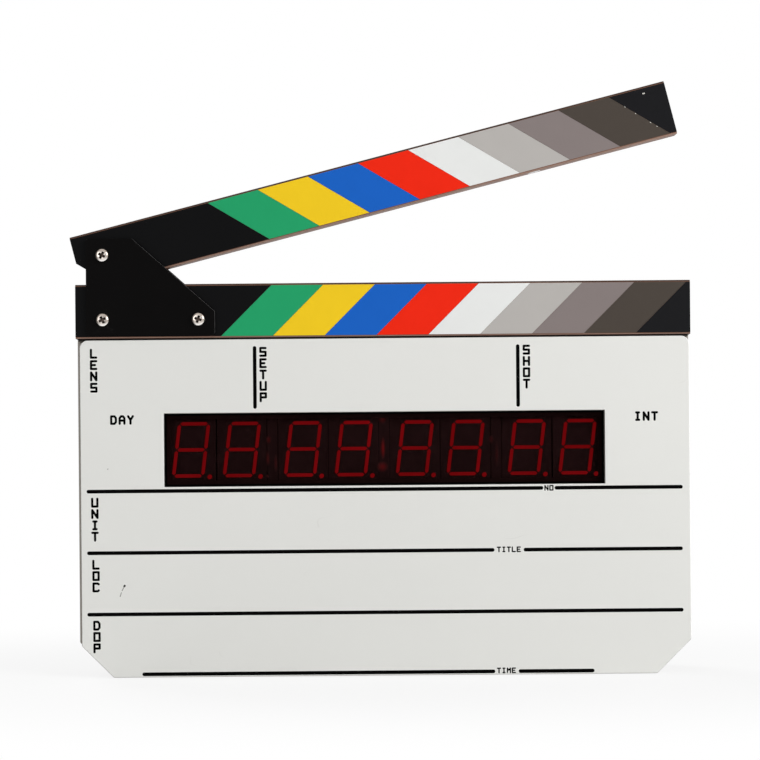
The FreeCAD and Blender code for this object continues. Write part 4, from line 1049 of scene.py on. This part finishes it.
# %% Screw pattern
PAN_DOME = ((1, 0), (1, 0.34), (0.97, 0.52), (0.88, 0.74), (0.7, 0.91), (0.45, 0.98), (0, 1))
CROSS_REACH = 0.62
CROSS_WIDTH = 0.4
CROSS_DEPTH = 0.62
FOOT_REACH = 0.45
FOOT_WIDTH = 0.7
CUT_OVERRUN = 0.2 * MM
SHANK_CHAMFER = 0.3 * MM


def join_rings(shape, low, high, segments):
    """Faces between two rings of points, either of which can be a single point."""
    for step in range(segments):
        after = (step + 1) % segments
        corners = [low[step % len(low)], low[after % len(low)]]
        corners += [high[after % len(high)], high[step % len(high)]]
        shape.faces.new(list(dict.fromkeys(corners)))


def lathe(name, profile, segments=48):
    """A solid of revolution about Y from (radius, y) points that start and end on the axis."""
    shape = bmesh.new()
    turns = [math.tau * step / segments for step in range(segments)]
    rings = []
    for radius, y in profile:
        around = turns if radius else turns[:1]
        places = [(radius * math.cos(turn), y, radius * math.sin(turn)) for turn in around]
        rings.append([shape.verts.new(place) for place in places])
    for low, high in zip(rings, rings[1:]):
        join_rings(shape, low, high, segments)
    bmesh.ops.recalc_face_normals(shape, faces=shape.faces)
    return piece_from(name, shape)


def cross_cutter(name, reach, width, top, depth):
    """Two bars that cross, wide at the top of the head and narrow at the bottom of the recess."""
    shape = bmesh.new()
    for turn in (0.0, math.pi / 2):
        bar = bmesh.ops.create_cube(shape, size=1.0)["verts"]
        for vert in bar:
            upper = vert.co.y > 0
            vert.co.x *= 2 * reach * (1.0 if upper else FOOT_REACH)
            vert.co.z *= width * (1.0 if upper else FOOT_WIDTH)
            vert.co.y = top + CUT_OVERRUN if upper else top - depth
        bmesh.ops.rotate(shape, verts=bar, matrix=Matrix.Rotation(turn, 3, "Y"))
    return piece_from(name, shape)


def cut_out(piece, cutter, **settings):
    carve = piece.modifiers.new("cut out", "BOOLEAN")
    carve.operation = "DIFFERENCE"
    carve.solver = "EXACT"
    carve.object = cutter
    for name, value in settings.items():
        setattr(carve, name, value)
    settle(piece)
    bpy.data.objects.remove(cutter)


def pan_screw(name, head_radius, head_height, shank_radius, shank_length):
    """A screw whose head stands on the origin towards +Y and whose shank runs towards -Y."""
    profile = [
        (0, -shank_length),
        (shank_radius - SHANK_CHAMFER, -shank_length),
        (shank_radius, SHANK_CHAMFER - shank_length),
        (shank_radius, 0.0),
    ]
    profile += [(head_radius * across, head_height * up) for across, up in PAN_DOME]
    screw = lathe(name, profile)
    dress(screw, finishes["screw_bright"])
    reach = CROSS_REACH * head_radius
    width = CROSS_WIDTH * head_radius
    cutter = cross_cutter(f"{name}_cutter", reach, width, head_height, CROSS_DEPTH * head_height)
    # The recess faces take the darker metal, painted shade.
    dress(cutter, finishes["recess_shade"])
    cut_out(screw, cutter, use_self=True, material_mode="TRANSFER")
    return screw


print("screw pattern ready")

# %% [markdown]
# Three bright screws hold the hinge, and the upper one is the pivot. The flat cover on the back has
# a ring of smaller ones. Their places are read from the solids. A seeded draw turns each cross of
# the cover its own way, as screws end up by hand.

# %% Hinge and cover screws
HINGE_RADII = (3.1 * MM, 2.0 * MM)
HINGE_TURNS = [0.5, 1.1, 0.3]
COVER_RADII = (2.9 * MM, 1.5 * MM)


def head_places(boxes, face):
    return [((low.x + high.x) / 2, face, (low.z + high.z) / 2) for low, high in boxes]


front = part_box("front_hinge_plate")[0].y
low, high = hinge_boxes[0]
head, shank = HINGE_RADII
screw = pan_screw("hinge_screw_pattern", head, front - low.y, shank, high.y - front)
screw.data.transform(Matrix.Rotation(math.pi, 4, "Z"))
places = head_places(hinge_boxes, front)
polished = finishes["screw_polished"]
hinge_screws = place_copies("hinge_pan_screws", screw, places, polished, HINGE_TURNS)
attach(hinge_screws, "board", "screw_bright", "hinge_screws")

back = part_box("rear_cover")[1].y
low, high = cover_boxes[0]
head, shank = COVER_RADII
screw = pan_screw("cover_screw_pattern", head, high.y - back, shank, back - low.y)
places = head_places(cover_boxes, back)
draw = random.Random(7)
turns = [draw.uniform(0.0, math.pi / 2) for _ in places]
cover_screws = place_copies("back_cover_screws", screw, places, finishes["screw_steel"], turns)
attach(cover_screws, "board", "screw_steel", "cover_screws")
for piece in (hinge_screws, cover_screws):
    print(piece.name, len(piece.data.polygons), "faces")

# %% [markdown]
# The battery cover is held by two thumb screws. Ridges around the head make it easy to grip, so a
# ring of points carries one small ridge each, around a turned head with a slot for a coin. A bump
# would look flat along the rim, where the ridges show against the cover.

# %% Thumb screws
RIDGES = 30
RIDGE_RADIUS = 0.35 * MM
RIDGE_FOOT = 0.35 * MM
RIDGE_SHOULDER = 1.2 * MM
RIDGE_TIP = 0.9 * MM
SLOT_WIDTH = 1.2 * MM
SLOT_DEPTH = 1.1 * MM
THUMB_SHANK = 1.5 * MM
THUMB_EDGE = 0.3 * MM
THUMB_GAP = 0.1 * MM
THUMB_FLAT = 0.72


def thumb_screw(node, body):
    low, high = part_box(node)
    centre = (low + high) / 2
    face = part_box("battery_cover")[1].y
    radius = (high.x - low.x) / 2
    top = high.y - face
    rim = radius - RIDGE_RADIUS
    profile = [
        (0, low.y - face),
        (THUMB_SHANK, low.y - face),
        (THUMB_SHANK, THUMB_GAP),
        (rim - THUMB_EDGE, THUMB_GAP),
        (rim, THUMB_GAP + THUMB_EDGE),
        (rim, top - 2 * THUMB_EDGE),
        (rim - THUMB_EDGE, top - THUMB_EDGE),
        (THUMB_FLAT * rim, top),
        (0, top),
    ]
    head = lathe(f"{node}_head", profile, 64)
    slot = bmesh.new()
    bmesh.ops.create_cube(slot, size=1.0)
    bmesh.ops.scale(slot, verts=slot.verts, vec=(3 * radius, 2 * SLOT_DEPTH, SLOT_WIDTH))
    bmesh.ops.translate(slot, verts=slot.verts, vec=(0.0, top, 0.0))
    cut_out(head, piece_from(f"{node}_slot", slot))
    head.data.transform(Matrix.Translation((centre.x, face, centre.z)))
    smooth_by_angle(head.data)
    bright = finishes["screw_bright"]
    dress(head, bright)
    attach(head, body, "screw_bright", node)
    profile = [
        (0, 0),
        (RIDGE_RADIUS, 0),
        (RIDGE_RADIUS, top - RIDGE_SHOULDER),
        (0, top - RIDGE_TIP),
    ]
    ridge = lathe(f"{node}_ridge", profile, 6)
    turns = [math.tau * step / RIDGES for step in range(RIDGES)]
    foot = face + RIDGE_FOOT
    places = [
        (centre.x + rim * math.cos(turn), foot, centre.z + rim * math.sin(turn)) for turn in turns
    ]
    knurl = place_copies(f"{node}_knurl", ridge, places, bright, turns)
    attach(knurl, body, "screw_bright")
    return head


for node in ("thumb_screw_left", "thumb_screw_right"):
    print(thumb_screw(node, body_of[node]).name, "with", RIDGES, "ridges")

# %% [markdown]
# Each digit of the display is seven bars and a point that lean to the right. One digit is drawn as
# flat bars with pointed ends. An image of digits would blur from close by, and bars stay sharp.

# %% Shapes of a digit
LEAN = math.tan(math.radians(7.0))
DIGIT_LIFT = 0.06 * MM
digit_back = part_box("digit_segments")[1].y
digit_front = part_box("digit_segments")[0].y - DIGIT_LIFT
digit_middle = middle("digit_blocks")[2]


def flat_piece(name, outlines):
    """Flat leaning shapes as deep as the digits, from outlines in millimetres about the middle."""
    shape = bmesh.new()
    for outline in outlines:
        places = [((x + z * LEAN) * MM, digit_front, z * MM) for x, z in outline]
        face = shape.faces.new([shape.verts.new(place) for place in places])
        grown = bmesh.ops.extrude_face_region(shape, geom=[face])["geom"]
        moved = [item for item in grown if isinstance(item, bmesh.types.BMVert)]
        bmesh.ops.translate(shape, verts=moved, vec=(0.0, digit_back - digit_front, 0.0))
    bmesh.ops.recalc_face_normals(shape, faces=shape.faces)
    return piece_from(name, shape)


def bar_outline(start, end, half):
    """A bar between two places, with a point at each end."""
    (x0, z0), (x1, z1) = start, end
    length = math.hypot(x1 - x0, z1 - z0)
    across = (x1 - x0) / length * half
    up = (z1 - z0) / length * half
    return [
        (x0, z0),
        (x0 + across - up, z0 + up + across),
        (x1 - across - up, z1 - up + across),
        (x1, z1),
        (x1 - across + up, z1 - up - across),
        (x0 + across + up, z0 + up - across),
    ]


def dot_outline(x, z, radius, corners=24):
    steps = [math.tau * step / corners for step in range(corners)]
    return [(x + radius * math.cos(step), z + radius * math.sin(step)) for step in steps]


print("digits at height", round(digit_middle / MM, 2), "mm")

# %% [markdown]
# The display has four pairs of digits. All eight are alike, so only one is drawn, with small gaps
# where its bars meet. The place tree repeats it at the step between pairs and the step in a pair.

# %% Display digits
PAIR_PITCH = 51.1
DIGIT_PITCH = 23.2
DISPLAY_SHIFT = 0.2
DIGIT_HEIGHT = 25.35
DIGIT_WIDTH = 14.8
BAR = 1.55
BAR_GAP = 0.4
POINT = (DIGIT_WIDTH / 2 + 2.55, -DIGIT_HEIGHT / 2 + 0.3, 1.05)

half = BAR / 2
wide = DIGIT_WIDTH / 2 - half
tall = DIGIT_HEIGHT / 2 - half
bars = [bar_outline((BAR_GAP - wide, z), (wide - BAR_GAP, z), half) for z in (-tall, 0.0, tall)]
for x in (-wide, wide):
    bars.append(bar_outline((x, BAR_GAP), (x, tall - BAR_GAP), half))
    bars.append(bar_outline((x, BAR_GAP - tall), (x, -BAR_GAP), half))
digit = flat_piece("digit_pattern", [*bars, dot_outline(*POINT)])
places = []
for pair in (-1.5, -0.5, 0.5, 1.5):
    for side in (-1, 1):
        x = DISPLAY_SHIFT + pair * PAIR_PITCH + side * DIGIT_PITCH / 2
        places.append((x * MM, 0.0, digit_middle))
digits = place_copies("display_digits", digit, places, finishes["segment_red"])
attach(digits, "board", "segment_red", "digit_segments")
print("digits:", len(places))

# %% [markdown]
# Between the pairs sit small lamps that are off. Stray light from the digits shows them as faint
# smears. Each smear is a low oval dome whose `glow` attribute falls from the middle to the rim, and
# the finish reads that attribute. Below, a smear is a place, its two half sizes and its strength,
# and a ring is a share of that size and a level, from 0 at the rim to 1 in the middle.

# %% Stray light between the pairs
STRAY_RED = segment_finish("segment_stray", (86, 54, 54), (214, 22, 30), 0.6, faded=True)
SMEARS = (
    (-0.5, 13.0, 1.9, 1.7, 0.16),
    (-0.4, 0.0, 1.1, 5.2, 0.5),
    (-0.7, -8.4, 2.7, 2.6, 0.34),
    (-52.6, 4.4, 1.2, 2.0, 0.2),
    (-53.0, -4.2, 1.0, 3.4, 0.17),
    (-49.4, -6.4, 0.9, 4.0, 0.13),
    (-53.2, -12.2, 0.7, 0.8, 0.12),
    (49.1, 3.8, 1.2, 1.8, 0.12),
    (51.6, -3.0, 0.9, 6.0, 0.08),
)
RIM_POINTS = 24
RINGS = ((1.0, 0.0), (0.75, 0.22), (0.45, 0.62), (0.2, 0.92), (0.0, 1.0))


def smear_piece(name, smears):
    shape = bmesh.new()
    glow = shape.verts.layers.float.new("glow")
    turns = [math.tau * step / RIM_POINTS for step in range(RIM_POINTS)]
    for x, z, across, up, strength in smears:
        rings = []
        for share, level in RINGS:
            depth = digit_front * level + digit_back * (1 - level)
            ring = []
            for turn in turns if share else turns[:1]:
                aside = (x + across * share * math.cos(turn)) * MM
                height = digit_middle + (z + up * share * math.sin(turn)) * MM
                vert = shape.verts.new((aside, depth, height))
                vert[glow] = strength * level
                ring.append(vert)
            rings.append(ring)
        shape.faces.new(rings[0])
        for outer, inner in zip(rings, rings[1:]):
            join_rings(shape, outer, inner, RIM_POINTS)
    bmesh.ops.recalc_face_normals(shape, faces=shape.faces)
    return piece_from(name, shape)


smears = smear_piece("display_smears", SMEARS)
dress(smears, STRAY_RED)
attach(smears, "board", "segment_red")
print("smears:", len(SMEARS))

# %% [markdown]
# The window has a dark border printed on its inner face, which hides the metal ledge that it rests
# on, and a black line along the very edge, which is painted shade at the window's rim. Both are flat
# frames of four strips, given a film's thickness by a Solidify modifier.

# %% Window border
BORDER = {"roughness": 0.6, "patch": (90.0, 0.25), "specular": 0.0}
BORDER_DARK = finish("border_dark", (42, 24, 24), **BORDER)
FILM = 0.05 * MM
BORDERS = (
    ("window_border", 2.6, 0.1, BORDER_DARK),
    # A black line along the rim: painted shade.
    ("window_edge_line", 0.8, 0.2, PRINT_BLACK),
)


def window_frame(name, width, lift, made):
    """A flat frame along the window's edge, a little in front of its inner face."""
    low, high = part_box("display_filter")
    depth = high.y - lift * MM
    edge = width * MM
    strips = (
        (low.x, low.z, high.x, low.z + edge),
        (low.x, high.z - edge, high.x, high.z),
        (low.x, low.z + edge, low.x + edge, high.z - edge),
        (high.x - edge, low.z + edge, high.x, high.z - edge),
    )
    shape = bmesh.new()
    for x0, z0, x1, z1 in strips:
        corners = ((x0, z0), (x1, z0), (x1, z1), (x0, z1))
        shape.faces.new([shape.verts.new((x, depth, z)) for x, z in corners])
    piece = piece_from(name, shape)
    piece.modifiers.new("film", "SOLIDIFY").thickness = FILM
    settle(piece)
    dress(piece, made)
    return attach(piece, "board", "filter_red")


for name, width, lift, made in BORDERS:
    print(window_frame(name, width, lift, made).name, width, "mm wide")

# %% [markdown]
# The switch well on the back has white marks: numbers around the rate knob, and plain words by the
# switches. They are ink lines like those on the board, but they face backwards, so they are drawn
# with X reversed. The pointer rides on the knob and turns with it.

# %% Marks in the well
PRINT_WHITE = finish("print_white", (224, 224, 220), roughness=0.5, patch=(300.0, 0.06))
DIAL_CELL = (1.2, 2.0, 1.9)
SWITCH_CELL = (1.4, 2.2, 2.2)
TICK_REACH = (8.0, 9.3)
NUMBER_REACH = (11.8, 11.6)
WORD_REACH = 9.5
POINTER_REACH = (1.2, 6.2)
POINTER_SINK = 0.6 * MM
WORD_STROKE = 0.36
TICK_STROKE = 0.45
POINTER_STROKE = 0.7
well_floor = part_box("panel_nuts")[0].y
well_middle = middle("panel_nuts")[2] / MM
knob_x = middle("rate_knob")[0] / MM
button_x = middle("set_button")[0] / MM
switch_boxes = sorted(solid_boxes("switch_bodies"), key=lambda box: box[0].x)
switch_xs = [(low.x + high.x) / 2 / MM for low, high in switch_boxes]
SWITCH_WORDS = (
    ("ON", switch_xs[0], 1),
    ("OFF", switch_xs[0], -1),
    ("HI", switch_xs[1], 1),
    ("LO", switch_xs[1], -1),
    ("SET", button_x, 1),
)


def by_knob(degrees, across, up):
    turn = math.radians(degrees)
    return knob_x - across * math.sin(turn), well_middle + up * math.cos(turn)


ticks = [[by_knob(turn, reach, reach) for reach in TICK_REACH] for turn in range(-135, 136, 45)]
marks = []
for number, degrees in (("24", -45), ("25", 0), ("30", 45)):
    x, z = by_knob(degrees, *NUMBER_REACH)
    marks += word_across(number, x, z, DIAL_CELL, facing=-1)
for word, x, side in SWITCH_WORDS:
    marks += word_across(word, x, well_middle + side * WORD_REACH, SWITCH_CELL, facing=-1)
in_well = (well_floor, PRINT_WHITE, "board", "pan_paint")
print_lines("well_marks", marks, WORD_STROKE, *in_well)
print_lines("dial_ticks", ticks, TICK_STROKE, *in_well)
pointer = [[(knob_x, well_middle + reach) for reach in POINTER_REACH]]
on_knob = (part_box("rate_knob")[1].y - POINTER_SINK, PRINT_WHITE, "rate_dial", "knob_black")
print_lines("knob_pointer", pointer, POINTER_STROKE, *on_knob)
print("lines in the well:", len(marks) + len(ticks))

# %% [markdown]
# Ribs pressed into the battery cover give the fingers a hold. One rib is a stretched, flattened
# dome, and the place tree stacks it in two groups.

# %% Finger ribs
RIBS = 7
RIB_PITCH = 3.2 * MM
RIB_SIZE = (11.0 * MM, 1.3 * MM, 1.0 * MM)
RIB_GROUP = 58.0 * MM
BALL = ((0, -1), (0.5, -0.86), (0.86, -0.5), (1, 0), (0.86, 0.5), (0.5, 0.86), (0, 1))
rib = lathe("rib_pattern", BALL, 24)
rib.data.transform(Matrix.Diagonal((*RIB_SIZE, 1.0)))
cover_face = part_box("battery_cover")[1].y
cover_middle = middle("battery_cover")[2]
places = []
for side in (-1, 1):
    for step in range(RIBS):
        height = cover_middle + (step - (RIBS - 1) / 2) * RIB_PITCH
        places.append((side * RIB_GROUP, cover_face, height))
ribs = place_copies("finger_ribs", rib, places, finishes["pan_paint"])
attach(ribs, "battery_door", "pan_paint")
print("ribs:", len(places))

# %% [markdown]
# The photograph's light is broad and soft, a little stronger from the right. Two large lamps in
# front and two behind give it. Each is a place, a size and a power, and looks at the board's middle.

# %% Lamps
AIM = Vector((0.0, 0.0, 0.13))
LAMPS = {
    "key": ((1.25, -0.95, 0.75), 0.9, 20.0),
    "fill": ((-1.3, -1.5, 0.6), 1.2, 6.4),
    "back_key": ((-0.9, 1.2, 0.9), 0.9, 16.0),
    "back_fill": ((1.2, 1.3, 0.5), 1.2, 5.0),
}
scene = bpy.context.scene
scene.view_settings.view_transform = "Standard"
for name, (place, size, power) in LAMPS.items():
    light = bpy.data.lights.new(name, "AREA")
    light.shape = "SQUARE"
    light.size = size
    light.energy = power
    lamp = link(name, light)
    lamp.location = place
    lamp.rotation_euler = (AIM - Vector(place)).to_track_quat("-Z", "Y").to_euler()
print("lamps:", len(LAMPS))

# %% [markdown]
# The background is white. The world and the floor are plain white to the camera, also by way of
# bright metal and clear plastic, while the light that falls on the object stays at its plain level.
# Near the object the floor is a little less so, and keeps its shadow.

# %% World and floor
WHITE = (1.0, 1.0, 1.0, 1.0)
FLOOR_GREY = (0.86, 0.86, 0.86, 1.0)
FLOOR_SIZE = 4.0
WORLD_LIGHT = 0.28
SHADOW_SQUEEZE = (0.45, 1.0, 1.0)
SHADOW_NEAR = 0.05
SHADOW_FAR = 0.24
SHADOW_WHITE = 0.82


def seen_directly(tree):
    """1 where the camera looks, straight or by a mirror or window, and 0 for light on things."""
    path = add(tree, "ShaderNodeLightPath").outputs
    seen = calc(tree, "MAXIMUM", path["Is Camera Ray"], path["Is Glossy Ray"])
    return calc(tree, "MAXIMUM", seen, path["Is Transmission Ray"])


def end_in_mix(tree, kind, share, first, second):
    mix = add(tree, "ShaderNodeMixShader", {0: share, 1: first.outputs[0], 2: second.outputs[0]})
    add(tree, kind, {"Surface": mix.outputs[0]})


def make_world():
    world = bpy.data.worlds.new("white studio")
    world.use_nodes = True
    tree = world.node_tree
    tree.nodes.clear()
    soft = add(tree, "ShaderNodeBackground", {"Color": WHITE, "Strength": WORLD_LIGHT})
    white = add(tree, "ShaderNodeBackground", {"Color": WHITE, "Strength": 1.0})
    end_in_mix(tree, "ShaderNodeOutputWorld", seen_directly(tree), soft, white)
    return world


def make_floor_finish():
    made = bpy.data.materials.new("pale_floor")
    made.use_nodes = True
    tree = made.node_tree
    tree.nodes.clear()
    matt = add(tree, "ShaderNodeBsdfDiffuse", {"Color": FLOOR_GREY})
    white = add(tree, "ShaderNodeEmission", {"Color": WHITE, "Strength": 1.0})
    inputs = {0: object_spot(tree), 1: SHADOW_SQUEEZE}
    squeezed = add(tree, "ShaderNodeVectorMath", inputs, operation="MULTIPLY").outputs[0]
    away = add(tree, "ShaderNodeVectorMath", {0: squeezed}, operation="LENGTH").outputs["Value"]
    reach = (SHADOW_NEAR, SHADOW_FAR, SHADOW_WHITE, 1.0)
    fade = map_range(tree, away, *reach, interpolation_type="SMOOTHSTEP")
    share = calc(tree, "MULTIPLY", seen_directly(tree), fade)
    end_in_mix(tree, "ShaderNodeOutputMaterial", share, matt, white)
    return made


scene.world = make_world()
corners = ((-1, -1), (1, -1), (1, 1), (-1, 1))
mesh = bpy.data.meshes.new("floor")
mesh.from_pydata([(FLOOR_SIZE * x, FLOOR_SIZE * y, 0) for x, y in corners], [], [(0, 1, 2, 3)])
floor = link("floor", mesh)
dress(floor, make_floor_finish())
print("floor:", 2 * FLOOR_SIZE, "m wide")

# %% [markdown]
# The picture was taken square on from about a metre away, so that the underside of the raised stick
# just shows, and the board leans half a degree in it. The lens makes the frame as wide as the
# photograph's.

# %% Camera
DISTANCE = 1.05
FRAME_WIDTH = 345.4 * MM
SENSOR = 36.0
ASIDE = -1.5 * MM
HEIGHT = 134.6 * MM
ROLL = math.radians(-0.485)
camera_data = bpy.data.cameras.new("camera")
camera_data.sensor_width = SENSOR
camera_data.lens = SENSOR * (DISTANCE + PLATE_FRONT) / FRAME_WIDTH
camera = link("camera", camera_data)
camera.location = (ASIDE, -DISTANCE, HEIGHT)
level = Matrix.Rotation(math.pi / 2, 3, "X")
camera.rotation_euler = (level @ Matrix.Rotation(ROLL, 3, "Z")).to_euler()
scene.camera = camera
print("lens:", round(camera_data.lens, 1), "mm")

# %% Finish
bpy.context.view_layer.update()
